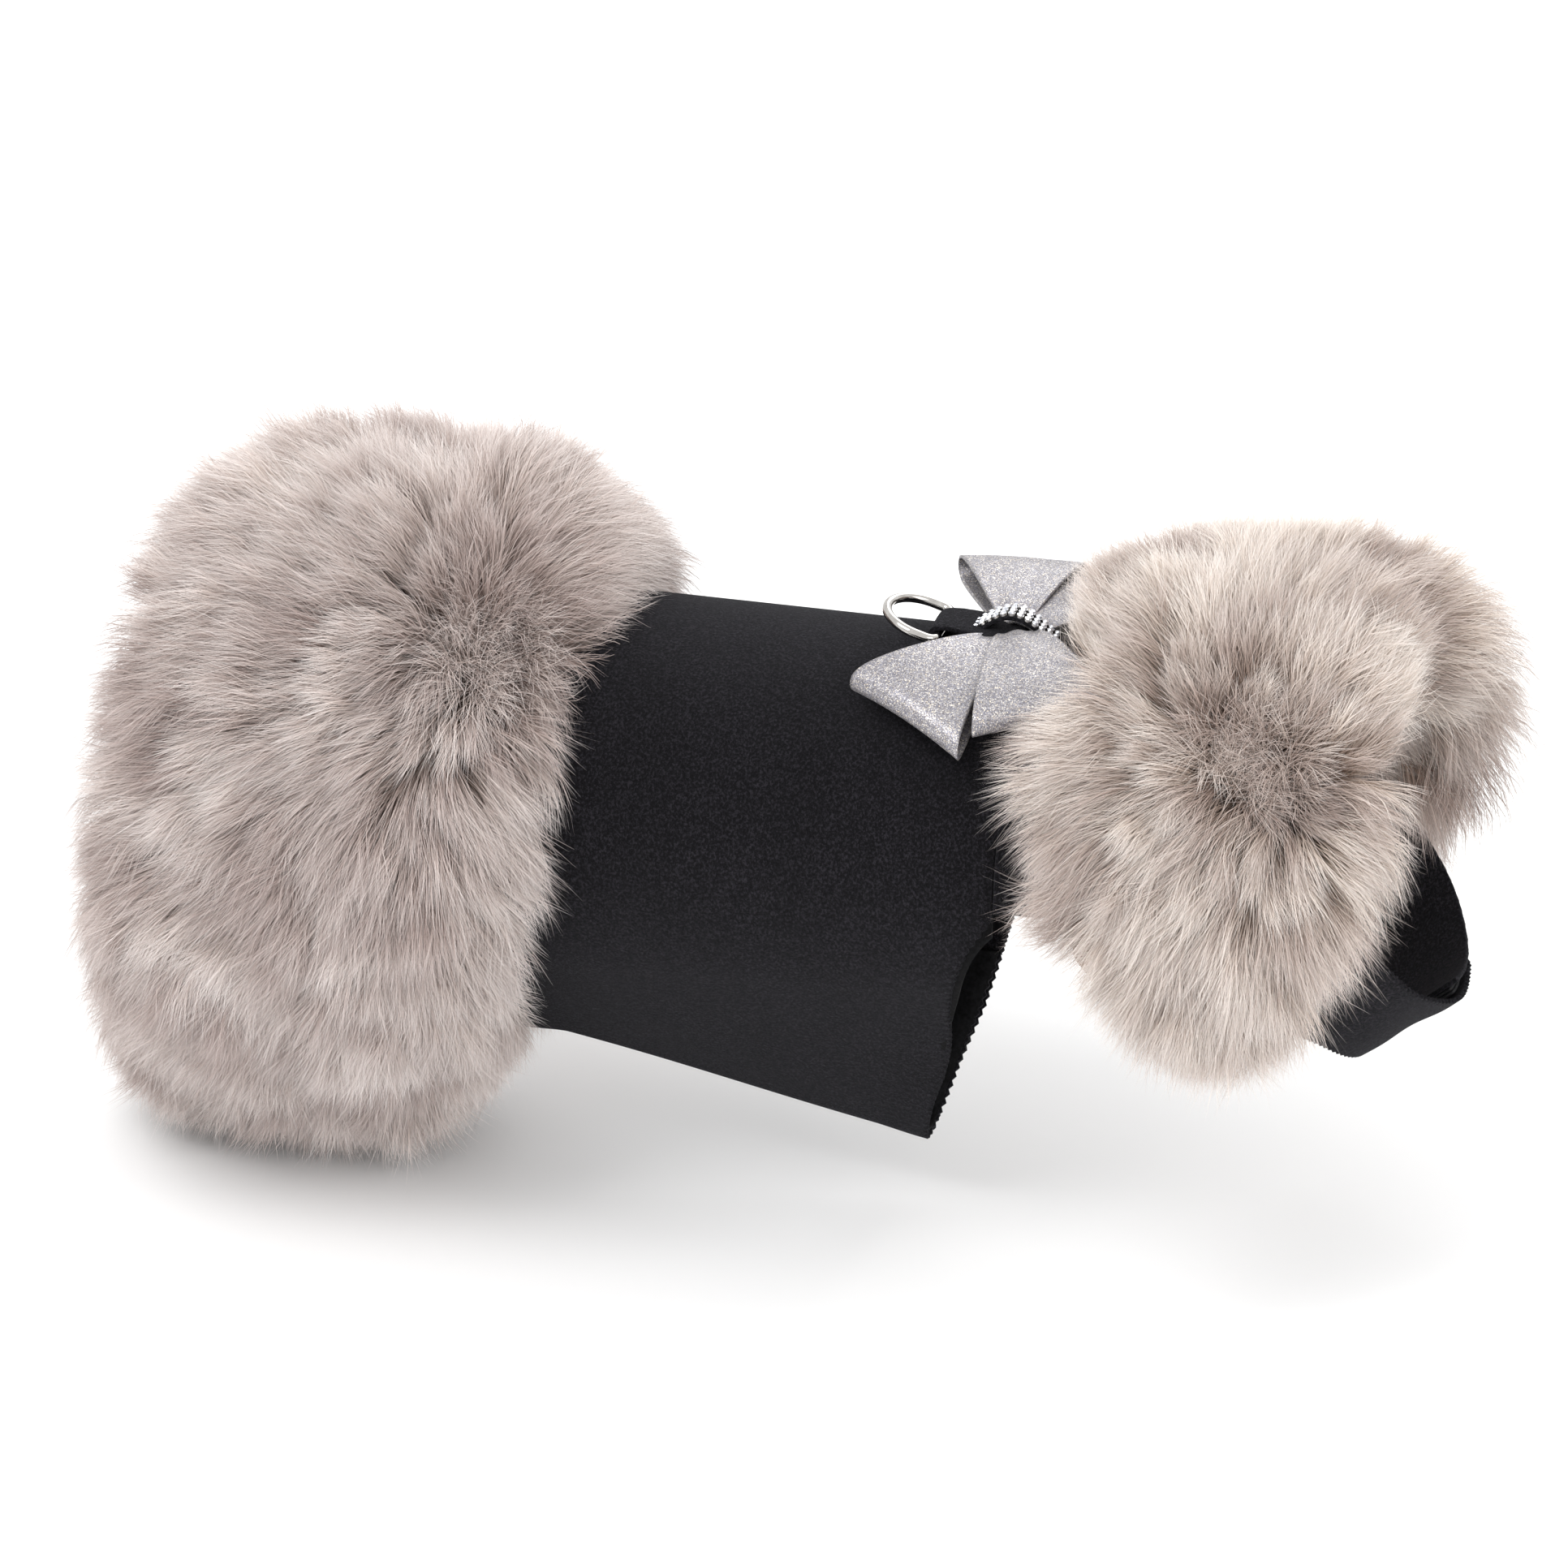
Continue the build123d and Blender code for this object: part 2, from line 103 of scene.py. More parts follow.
cad_low, cad_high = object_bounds()
back_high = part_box("back_panel")[1]

# The coat's own axes: millimetres from the belly corner's plane, as in the CAD source.
ARMHOLE_X, SPINE_Z = 64.0, 158.0
ORIGIN = np.array([back_high.x / MM - ARMHOLE_X, 0.0, back_high.z / MM - SPINE_Z])


def row(points):
    """Coat millimetres to row metres."""
    return (np.asarray(points, float) + ORIGIN) * MM


# ---- camera ------------------------------------------------------------------------------------------
AZIMUTH, ELEVATION = math.radians(15), math.radians(25)
DISTANCE, FRAME_WIDTH, SENSOR = 2.4, 0.439, 36
RING_BAR_X = 36.0
AIM_LEFT, AIM_DOWN = 0.04477, 0.04023


def make_camera():
    """A long lens from the right side, aimed from the leash ring's bar."""
    level = math.cos(ELEVATION)
    back = Vector((math.sin(AZIMUTH) * level, -math.cos(AZIMUTH) * level, math.sin(ELEVATION)))
    data = bpy.data.cameras.new("view")
    cam = bpy.data.objects.new("view", data)
    bpy.context.scene.collection.objects.link(cam)
    data.sensor_width = SENSOR
    data.lens = SENSOR * DISTANCE / FRAME_WIDTH
    data.clip_start, data.clip_end = 0.05, 20
    right = Vector((math.cos(AZIMUTH), math.sin(AZIMUTH), 0))
    up = back.cross(right)
    ring = Vector(row([RING_BAR_X, 0.0, SPINE_Z]))
    aim = ring - right * AIM_LEFT - up * AIM_DOWN
    cam.location = aim + back * DISTANCE
    cam.rotation_mode = "QUATERNION"
    cam.rotation_quaternion = (-back).to_track_quat("-Z", "Y")
    bpy.context.scene.camera = cam


make_camera()


# ---- node helpers ------------------------------------------------------------------------------------
def material(name):
    mat = bpy.data.materials.new(name)
    mat.use_nodes = True
    nodes, links = mat.node_tree.nodes, mat.node_tree.links
    shader = next(n for n in nodes if n.type == "BSDF_PRINCIPLED")
    return mat, nodes, links, shader


def srgb(r, g, b):
    """A colour given as 0 to 255 per channel, in Blender's linear numbers."""
    out = []
    for c in (r, g, b):
        c /= 255
        out.append(c / 12.92 if c <= 0.04045 else ((c + 0.055) / 1.055) ** 2.4)
    return (*out, 1)


def ramp(nodes, links, source, stops):
    """A colour ramp over the source, with stops as (position, colour)."""
    node = nodes.new("ShaderNodeValToRGB")
    elements = node.color_ramp.elements
    while len(elements) < len(stops):
        elements.new(0.5)
    for element, (at, colour) in zip(elements, stops):
        element.position = at
        element.color = colour
    links.new(source, node.inputs["Fac"])
    return node.outputs["Color"]


MIX_A, MIX_B, MIX_RESULT = 6, 7, 2


def mix(nodes, links, factor, a, b, kind="MIX"):
    node = nodes.new("ShaderNodeMix")
    node.data_type = "RGBA"
    node.blend_type = kind
    for socket, value in ((node.inputs["Factor"], factor), (node.inputs[MIX_A], a), (node.inputs[MIX_B], b)):
        if isinstance(value, (int, float, tuple)):
            socket.default_value = value
        else:
            links.new(value, socket)
    return node.outputs[MIX_RESULT]


def noise(nodes, links, scale, detail, rough, stretch=None, turn=(0, 0, 0)):
    coords = nodes.new("ShaderNodeTexCoord")
    node = nodes.new("ShaderNodeTexNoise")
    node.inputs["Scale"].default_value = scale
    node.inputs["Detail"].default_value = detail
    node.inputs["Roughness"].default_value = rough
    source = coords.outputs["Object"]
    if stretch:
        mapping = nodes.new("ShaderNodeMapping")
        mapping.inputs["Scale"].default_value = stretch
        mapping.inputs["Rotation"].default_value = turn
        links.new(source, mapping.inputs["Vector"])
        source = mapping.outputs["Vector"]
    links.new(source, node.inputs["Vector"])
    return node.outputs["Fac"]


def bump(nodes, links, shader, height, strength, distance):
    node = nodes.new("ShaderNodeBump")
    node.inputs["Strength"].default_value = strength
    node.inputs["Distance"].default_value = distance
    links.new(height, node.inputs["Height"])
    links.new(node.outputs["Normal"], shader.inputs["Normal"])


# ---- materials ---------------------------------------------------------------------------------------
def suede_material():
    mat, nodes, links, shader = material("black_suede")
    patches = noise(nodes, links, 30, 4, 0.6, (1.0, 1.0, 0.45), (0, 0.5, 0.3))
    grain = noise(nodes, links, 1350, 5, 0.8, (1.0, 1.0, 0.8), (0, 0.7, 0.4))
    shades = [(0.40, srgb(3, 3, 5)), (0.50, srgb(13, 12, 15)), (0.61, srgb(43, 41, 46))]
    fine = ramp(nodes, links, grain, shades)
    broad = ramp(nodes, links, patches, [(0.30, (0.78, 0.78, 0.79, 1)), (0.70, (1.15, 1.15, 1.17, 1))])
    links.new(mix(nodes, links, 1.0, fine, broad, "MULTIPLY"), shader.inputs["Base Color"])
    shader.inputs["Roughness"].default_value = 0.92
    shader.inputs["Specular IOR Level"].default_value = 0.12
    shader.inputs["Sheen Weight"].default_value = 0.06
    shader.inputs["Sheen Roughness"].default_value = 0.45
    shader.inputs["Sheen Tint"].default_value = (0.8, 0.8, 0.9, 1)
    bump(nodes, links, shader, grain, 0.9, 0.0009)
    return mat


def lining_material():
    mat, nodes, links, shader = material("black_lining")
    weave = noise(nodes, links, 900, 2, 0.5)
    colour = ramp(nodes, links, weave, [(0.35, srgb(8, 8, 9)), (0.65, srgb(20, 20, 22))])
    links.new(colour, shader.inputs["Base Color"])
    shader.inputs["Roughness"].default_value = 0.85
    shader.inputs["Specular IOR Level"].default_value = 0.15
    bump(nodes, links, shader, weave, 0.3, 0.0003)
    return mat


def tan_material():
    mat, nodes, links, shader = material("tan_knit")
    weave = noise(nodes, links, 700, 3, 0.6, (1.0, 0.4, 1.0))
    colour = ramp(nodes, links, weave, [(0.3, srgb(104, 74, 48)), (0.7, srgb(158, 120, 84))])
    links.new(colour, shader.inputs["Base Color"])
    shader.inputs["Roughness"].default_value = 0.9
    bump(nodes, links, shader, weave, 0.5, 0.0004)
    return mat


HAIR_STOPS = (0.0, 0.35, 0.7, 1.0)


def fur_material(name, light_colours, dark_colours):
    """Hair colour from the strand's own UV: u is the lock's tone with painted light and shade added, and v
    runs from root to tip.
    """
    mat, nodes, links, shader = material(name)
    uv = nodes.new("ShaderNodeUVMap")
    uv.uv_map = "OFBake"
    parts = nodes.new("ShaderNodeSeparateXYZ")
    links.new(uv.outputs["UV"], parts.inputs["Vector"])
    light, dark = (
        ramp(nodes, links, parts.outputs["Y"], [(at, srgb(*c)) for at, c in zip(HAIR_STOPS, colours)])
        for colours in (light_colours, dark_colours)
    )
    links.new(mix(nodes, links, parts.outputs["X"], dark, light), shader.inputs["Base Color"])
    shader.inputs["Roughness"].default_value = 0.55
    shader.inputs["Specular IOR Level"].default_value = 0.25
    shader.inputs["Sheen Weight"].default_value = 0.25
    shader.inputs["Sheen Roughness"].default_value = 0.5
    return mat


def undercoat_material():
    mat, nodes, links, shader = material("fur_undercoat")
    tufts = noise(nodes, links, 260, 4, 0.65)
    colour = ramp(nodes, links, tufts, [(0.3, srgb(112, 90, 76)), (0.7, srgb(168, 146, 132))])
    links.new(colour, shader.inputs["Base Color"])
    shader.inputs["Roughness"].default_value = 0.9
    shader.inputs["Specular IOR Level"].default_value = 0.1
    bump(nodes, links, shader, tufts, 0.8, 0.002)
    return mat


def nickel_material():
    mat, nodes, links, shader = material("polished_nickel")
    wear = noise(nodes, links, 420, 4, 0.6)
    colour = ramp(nodes, links, wear, [(0.3, (0.46, 0.44, 0.42, 1)), (0.7, (0.62, 0.60, 0.57, 1))])
    links.new(colour, shader.inputs["Base Color"])
    shader.inputs["Metallic"].default_value = 1.0
    rough = ramp(nodes, links, wear, [(0.3, (0.07, 0.07, 0.07, 1)), (0.8, (0.16, 0.16, 0.16, 1))])
    links.new(rough, shader.inputs["Roughness"])
    return mat


def glitter_material():
    mat, nodes, links, shader = material("silver_glitter")
    coords = nodes.new("ShaderNodeTexCoord")
    flakes = nodes.new("ShaderNodeTexVoronoi")
    flakes.inputs["Scale"].default_value = 4200
    links.new(coords.outputs["Object"], flakes.inputs["Vector"])
    parts = nodes.new("ShaderNodeSeparateColor")
    links.new(flakes.outputs["Color"], parts.inputs["Color"])
    tone = ramp(nodes, links, parts.outputs["Red"], [
        (0.0, srgb(104, 103, 110)), (0.4, srgb(138, 136, 142)), (0.8, srgb(168, 166, 170)),
        (1.0, srgb(244, 238, 226)),
    ])
    hue = ramp(nodes, links, parts.outputs["Green"], [
        (0.0, (0.96, 0.97, 1.06, 1)), (0.6, (1.0, 1.0, 1.0, 1)), (0.85, (1.05, 1.0, 0.9, 1)),
        (1.0, (1.1, 0.98, 0.82, 1)),
    ])
    links.new(mix(nodes, links, 1.0, tone, hue, "MULTIPLY"), shader.inputs["Base Color"])
    shader.inputs["Metallic"].default_value = 0.45
    greys = [(0.0, (0.22, 0.22, 0.22, 1)), (1.0, (0.6, 0.6, 0.6, 1))]
    rough = ramp(nodes, links, parts.outputs["Blue"], greys)
    links.new(rough, shader.inputs["Roughness"])
    bump(nodes, links, shader, parts.outputs["Blue"], 0.30, 0.0002)
    return mat


def crystal_material():
    mat, nodes, links, shader = material("cut_crystal")
    # Painted reflections: lighter and darker patches on the clear crystal stand in for the sparkle of its
    # cut facets.
    painted_facet_glints = noise(nodes, links, 900, 2, 0.5)
    colour = ramp(nodes, links, painted_facet_glints, [(0.35, (0.55, 0.57, 0.62, 1)), (0.6, (0.95, 0.96, 1.0, 1))])
    links.new(colour, shader.inputs["Base Color"])
    shader.inputs["Metallic"].default_value = 0.55
    shader.inputs["Roughness"].default_value = 0.06
    shader.inputs["IOR"].default_value = 1.75
    return mat


def cup_material():
    mat, nodes, links, shader = material("plated_cups")
    wear = noise(nodes, links, 800, 3, 0.6)
    colour = ramp(nodes, links, wear, [(0.3, (0.42, 0.41, 0.40, 1)), (0.7, (0.72, 0.71, 0.69, 1))])
    links.new(colour, shader.inputs["Base Color"])
    shader.inputs["Metallic"].default_value = 1.0
    shader.inputs["Roughness"].default_value = 0.25
    return mat


def fastener_material():
    mat, nodes, links, shader = material("touch_fastener")
    loops = noise(nodes, links, 2200, 2, 0.7)
    colour = ramp(nodes, links, loops, [(0.3, srgb(10, 10, 11)), (0.7, srgb(38, 38, 41))])
    links.new(colour, shader.inputs["Base Color"])
    shader.inputs["Roughness"].default_value = 0.7
    bump(nodes, links, shader, loops, 0.9, 0.0005)
    return mat


SUEDE = suede_material()
LINING = lining_material()
TAN = tan_material()
NICKEL = nickel_material()
GLITTER = glitter_material()
CRYSTAL = crystal_material()
CUPS = cup_material()
FASTENER = fastener_material()
UNDERCOAT = undercoat_material()
HEM_FUR = fur_material(
    "hem_fur",
    [(164, 138, 122), (200, 182, 172), (226, 214, 208), (250, 246, 244)],
    [(100, 78, 66), (140, 120, 111), (172, 154, 148), (206, 193, 189)],
)
COLLAR_FUR = fur_material(
    "collar_fur",
    [(166, 138, 116), (206, 188, 173), (232, 221, 212), (252, 248, 244)],
    [(92, 68, 54), (142, 119, 106), (172, 153, 144), (206, 192, 187)],
)

for mat, names in (
    (SUEDE, "back_panel neck_yoke ring_tab crystal_band chest_strap_left chest_strap_root chest_strap_tab "
            "belly_flap_seam belly_flap"),
    (LINING, "body_lining yoke_lining ring_anchor_web"),
    (TAN, "hem_fur_backing collar_fur_backing"),
    (NICKEL, "leash_ring"),
    (GLITTER, "bow_loop_right_rear bow_loop_right_front bow_loop_left_rear bow_loop_left_front"),
    (CUPS, "crystal_cups"),
    (CRYSTAL, "crystals"),
    (FASTENER, "chest_loop_strip chest_hook_strip belly_loop_strip belly_hook_strip"),
):
    for name in names.split():
        holder = frame["nodes"][name]
        if holder.material_slots:
            for material_slot in holder.material_slots:
                material_slot.material = mat
        else:
            holder.data.materials.append(mat)


# ---- meshes from arrays ------------------------------------------------------------------------------
def mesh_object(name, verts, faces, mat, body="coat", uv=None):
    """verts in row metres as (n, 3); faces as an (m, 3) or (m, 4) array, or a list of both."""
    mesh = bpy.data.meshes.new(name)
    blocks = faces if isinstance(faces, list) else [faces]
    counts = np.concatenate([np.full(len(b), b.shape[1]) for b in blocks])
    loops = np.concatenate([b.ravel() for b in blocks]).astype(np.int32)
    mesh.vertices.add(len(verts))
    mesh.vertices.foreach_set("co", np.asarray(verts, np.float32).ravel())
    mesh.loops.add(len(loops))
    mesh.loops.foreach_set("vertex_index", loops)
    mesh.polygons.add(len(counts))
    starts = np.concatenate([[0], np.cumsum(counts)[:-1]]).astype(np.int32)
    mesh.polygons.foreach_set("loop_start", starts)
    mesh.polygons.foreach_set("loop_total", counts.astype(np.int32))
    if uv is not None:
        layer = mesh.uv_layers.new(name="OFBake")
        layer.data.foreach_set("uv", np.asarray(uv, np.float32)[loops].ravel())
    mesh.update(calc_edges=True)
    mesh.validate()
    mesh.polygons.foreach_set("use_smooth", np.ones(len(counts), bool))
    mesh.materials.append(mat)
    obj = bpy.data.objects.new(name, mesh)
    bpy.context.scene.collection.objects.link(obj)
    if body:
        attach(obj, body)
    return obj


def thicken(obj, thickness):
    """Gives a sheet its thickness in millimetres, half of it on each side."""
    solidify = obj.modifiers.new("thickness", "SOLIDIFY")
    solidify.thickness = thickness * MM
    solidify.offset = 0


def bake_modifiers(obj):
    seen = obj.evaluated_get(bpy.context.evaluated_depsgraph_get())
    obj.data = bpy.data.meshes.new_from_object(seen)
    obj.modifiers.clear()


def unit(v):
    return v / np.maximum(np.linalg.norm(v, axis=-1, keepdims=True), 1e-9)


def smoothstep(low, high, x):
    t = np.clip((x - low) / (high - low), 0, 1)
    return t * t * (3 - 2 * t)


def zigzag(count, tooth):
    """Pinking: -0.5 to 0.5 and back over each tooth's number of steps."""
    return np.abs(((np.arange(count) / tooth) % 1) * 2 - 1) - 0.5


def grid_faces(rows, cols, wrap_rows=False, wrap_cols=False):
    """The quads of a grid of vertices, closed where it wraps."""
    r = np.arange(rows if wrap_rows else rows - 1)
    c = np.arange(cols if wrap_cols else cols - 1)
    i, j = np.meshgrid(r, c, indexing="ij")
    a = i * cols + j
    b = i * cols + (j + 1) % cols
    d = ((i + 1) % rows) * cols + j
    e = ((i + 1) % rows) * cols + (j + 1) % cols
    return np.stack([a, b, e, d], -1).reshape(-1, 4)


# ---- the torso's section, as in the CAD --------------------------------------------------------------
BACK_RADIUS, BELLY_RADIUS = 57.0, 10.0
BELLY_FRONT, BELLY_RISE, BELLY_LEVEL_X = (33.0, 3.0), 0.176, -75.0


def torso_point(x, h, side, grow):
    """A point and its outward normal on the torso: h is 0 on the spine and 1 at the belly fold."""
    low = BELLY_FRONT[1] - BELLY_RISE * (np.maximum(x, BELLY_LEVEL_X) - BELLY_FRONT[0])
    top, foot = SPINE_Z - BACK_RADIUS, low + BELLY_RADIUS
    tilt = np.arcsin((BACK_RADIUS - BELLY_RADIUS) / (top - foot))
    run = (top - foot) * np.cos(tilt)
    arc = BACK_RADIUS * (math.pi / 2 + tilt)
    under = BELLY_RADIUS * (math.pi / 2 - tilt)
    s = h * (arc + run + under)
    on_back, on_side = s < arc, (s >= arc) & (s < arc + run)
    angle = np.where(on_back, s / BACK_RADIUS, math.pi / 2 + tilt)
    angle = np.where(on_back | on_side, angle, math.pi / 2 + tilt + (s - arc - run) / BELLY_RADIUS)
    nx, nz = np.sin(angle), np.cos(angle)
    along = np.where(on_side, s - arc, 0.0)
    radius = np.where(on_back | on_side, BACK_RADIUS, BELLY_RADIUS) + grow
    centre = np.where(on_back | on_side, top, foot)
    y = radius * nx - along * np.sin(tilt)
    z = centre + radius * nz - along * np.cos(tilt)
    point = np.stack([x, y * side, z], -1)
    normal = np.stack([np.zeros_like(x), nx * side, nz], -1)
    return point, normal


# ---- fur ---------------------------------------------------------------------------------------------
HEM_MIDDLE, HEM_CORE_HALF, HEM_CORE_RISE, HEM_CORE_EDGE = -131.0, 44.0, 14.0, 1.2
REAR_LEAN, LEAN_Z = 0.17, 96.0
SQUARENESS = 0.8


def hem_core(a, b):
    """The hem band's undercoat: a runs round the coat, and b across the band from rear to front."""
    side = np.where(a < 0.5, -1.0, 1.0)
    h = np.where(a < 0.5, a * 2, 2 - a * 2)
    across = math.pi * (1 - b)
    x = HEM_MIDDLE + HEM_CORE_HALF * np.sign(np.cos(across)) * np.abs(np.cos(across)) ** SQUARENESS
    grow = HEM_CORE_EDGE + HEM_CORE_RISE * np.abs(np.sin(across)) ** 0.7
    point = torso_point(x, h, side, grow)[0]
    lower = smoothstep(50, 0, point[..., 2]) * smoothstep(0.3, 1.0, b)
    point[..., 0] += REAR_LEAN * (point[..., 2] - LEAN_Z) - 8.0 * lower
    return point


COLLAR_CENTRE = np.array([128.0, 0.0, 110.0])
COLLAR_LEAN = math.radians(7)
COLLAR_ALONG = np.array([math.cos(COLLAR_LEAN), 0, math.sin(COLLAR_LEAN)])
COLLAR_UP = np.array([-math.sin(COLLAR_LEAN), 0, math.cos(COLLAR_LEAN)])
COLLAR_END = math.radians(124)
COLLAR_CORE = (57.0, 8.0, 35.0)
COLLAR_HANG = 38.0
END_CLOSES_AT = 0.93
NARROWING, NARROW_FROM, NARROW_TO = 0.62, 66, 108


def collar_core(a, b):
    """The collar's undercoat: a runs round the neck from end to end, and b round its section."""
    turn = (2 * a - 1) * COLLAR_END
    close = np.clip((np.abs(2 * a - 1) - END_CLOSES_AT) / (1 - END_CLOSES_AT), 0, 1)
    k = np.sqrt(np.maximum(1 - close ** 2, 0.0004))[..., None]
    radius, thick, half = COLLAR_CORE
    hang = np.clip(-radius * np.cos(turn) / COLLAR_HANG, 0, 0.999)[..., None]
    half = half * np.sqrt(1 - hang ** 2) * (0.35 + 0.65 * k)
    half = half * (1 - NARROWING * smoothstep(NARROW_FROM, NARROW_TO, np.degrees(np.abs(turn)))[..., None])
    back = -9.0 * hang ** 2 * COLLAR_ALONG + 5.0 * smoothstep(0, 0.8, np.sin(turn))[..., None] * COLLAR_ALONG
    out = COLLAR_UP * np.cos(turn)[..., None] + np.array([0, 1.0, 0]) * np.sin(turn)[..., None]
    round_section = (2 * math.pi * b)[..., None]
    c, s = np.cos(round_section), np.sin(round_section)
    thick = radius + thick * k * np.sign(c) * np.abs(c) ** SQUARENESS
    return COLLAR_CENTRE + out * thick + COLLAR_ALONG * half * s + back


DENSITY = 1.0
HAIR_WIDTH = 0.19 / DENSITY ** 0.5
DROOP, FRIZZ = 2.5, 1.1
WISP_PULL, LOCK_PULL = 0.52, 0.17
STRAND_STEPS = (0.0, 0.34, 0.68, 1.0)
STRAND_HALF_WIDTHS = (0.5, 0.48, 0.34)


def surface_normals(core, a, b, step=1e-3):
    da = core(a + step, b) - core(a - step, b)
    db = core(a, b + step) - core(a, b - step)
    return unit(np.cross(da, db))


def nearest(points, seeds):
    """The index of the nearest seed for each point."""
    tree = KDTree(len(seeds))
    for i, s in enumerate(seeds):
        tree.insert(Vector(s), i)
    tree.balance()
    return np.array([tree.find(Vector(q))[1] for q in points])


def tangent(v, n):
    """The part of v that lies along the surface."""
    return v - n * np.sum(v * n, -1, keepdims=True)


def turned(direction, normal, angle):
    """The direction turned about the normal."""
    return direction * np.cos(angle)[:, None] + np.cross(normal, direction) * np.sin(angle)[:, None]


class Pile:
    """Hair over an undercoat surface, gathered in locks and in wisps within the locks."""

    CELLS_A, CELLS_B = 160, 60

    def __init__(self, core, flow, loose, tone, tone_and_painted_shading_field, keep, seed, a_span):
        self.core, self.flow, self.loose, self.keep = core, flow, loose, keep
        self.tone, self.tone_and_painted_shading_field = tone, tone_and_painted_shading_field
        self.rng = np.random.default_rng(seed)
        self.flip, self.start = 1.0, a_span[0]
        a = np.linspace(*a_span, self.CELLS_A + 1)
        p = core(*np.meshgrid(a, np.linspace(0.0, 1.0, self.CELLS_B + 1), indexing="ij"))
        area = np.linalg.norm(np.cross(p[1:, :-1] - p[:-1, :-1], p[:-1, 1:] - p[:-1, :-1]), axis=-1)
        self.area, self.cells = area.sum(), area.ravel()
        self.steps = ((a_span[1] - a_span[0]) / self.CELLS_A, 1.0 / self.CELLS_B)

    def roots(self, count):
        """Random places on the undercoat, even over its area, with their outward normals."""
        pick = self.rng.choice(len(self.cells), count, p=self.cells / self.cells.sum())
        a = self.start + (pick // self.CELLS_B + self.rng.random(count)) * self.steps[0]
        b = (pick % self.CELLS_B + self.rng.random(count)) * self.steps[1]
        return self.core(a, b), surface_normals(self.core, a, b) * self.flip

    def face_away(self, middle):
        """Turns the normals away from the nearest point of the piece's middle."""
        p, n = self.roots(200)
        self.flip = 1.0 if np.mean(np.sum(n * (p - middle(p)), -1)) > 0 else -1.0

    def grow(self, strands, lock_spacing, wisp_spacing):
        """Each strand's four points, its side direction, its width and its tone, with the piece's painted
        light and shade in it.
        """
        rng = self.rng
        lock_p, lock_n = self.roots(int(self.area / lock_spacing ** 2))
        wisp_p, wisp_n = self.roots(int(self.area / wisp_spacing ** 2))
        p, n = self.roots(strands)
        lock_of = nearest(wisp_p, lock_p)
        wisp_of = nearest(p, wisp_p)

        lock_flow, lock_lay, lock_height = self.flow(lock_p, lock_n)
        lock_dir = unit(tangent(lock_flow, lock_n))
        x, y, z = lock_p.T
        sway = 0.45 * np.sin(x / 13 + z / 19) * np.sin(y / 15 - z / 23)
        stray = 0.26 + 1.7 * self.loose(lock_p)
        lock_dir = turned(lock_dir, lock_n, sway + rng.normal(0, 1, len(lock_p)) * stray)
        lock_lay = lock_lay * rng.uniform(0.75, 1.25, len(lock_p))
        lock_height = lock_height * rng.normal(1, 0.09, len(lock_p))
        lock_tone = np.clip(rng.normal(0, 0.24, len(lock_p)), -0.45, 0.45)

        wisp_flow, wisp_lay, wisp_height = self.flow(wisp_p, wisp_n)
        wisp_calm = 1 - self.loose(wisp_p)[:, None]
        wisp_dir = unit(tangent(unit(wisp_flow) * wisp_calm + 1.1 * lock_dir[lock_of], wisp_n))
        stray = 0.30 + 1.1 * self.loose(wisp_p)
        wisp_dir = turned(wisp_dir, wisp_n, rng.normal(0, 1, len(wisp_p)) * stray)
        wisp_lay = (0.5 * wisp_lay + 0.5 * lock_lay[lock_of]) * rng.uniform(0.8, 1.2, len(wisp_p))
        wisp_height = (0.4 * wisp_height + 0.6 * lock_height[lock_of]) * rng.normal(1, 0.10, len(wisp_p))
        wisp_tone = lock_tone[lock_of] + rng.normal(0, 0.17, len(wisp_p))

        height = wisp_height[wisp_of] * rng.normal(1, 0.08, strands)
        lay = wisp_lay[wisp_of] * rng.normal(1, 0.12, strands)
        direction = unit(tangent(wisp_dir[wisp_of], n))
        loose = self.loose(p)
        direction = turned(direction, n, rng.normal(0, 1, strands) * (0.20 + 1.3 * loose))
        bound = (1 - 0.85 * loose)[:, None]
        to_wisp = tangent(wisp_p[wisp_of] - p, n)
        to_lock = tangent(lock_p[lock_of[wisp_of]] - p, n)
        droop = np.zeros((strands, 3))
        droop[:, 2] = -DROOP * rng.uniform(0.5, 1.5, strands)
        frizz = rng.normal(0, FRIZZ, (strands, 3))
        points = []
        for t in STRAND_STEPS:
            rise, pull = 1 - (1 - t) ** 1.7, t ** 1.5
            q = p + n * (height * rise)[:, None] + direction * (lay * pull)[:, None]
            q = q + (to_wisp * WISP_PULL + to_lock * LOCK_PULL) * pull * bound
            points.append(q + droop * t ** 2 + frizz * t ** 2)
        points = np.stack(points, 1)
        keep = self.keep(points)
        points, n, wisp_of, p = points[keep], n[keep], wisp_of[keep], p[keep]
        strands = len(points)
        along = unit(points[:, -1] - points[:, 0])
        face = unit(n + 0.75 * rng.normal(0, 1, (strands, 3)))
        side = unit(np.cross(along, face))
        width = HAIR_WIDTH * rng.uniform(0.75, 1.3, strands)
        # The strand's tone: random lock, wisp and strand tone, plus the piece's field of mottling and
        # painted light and shade.
        tone = self.tone + wisp_tone[wisp_of] + rng.normal(0, 0.14, strands) + self.tone_and_painted_shading_field(p)
        return points, side, width, np.clip(tone, 0.02, 0.98)


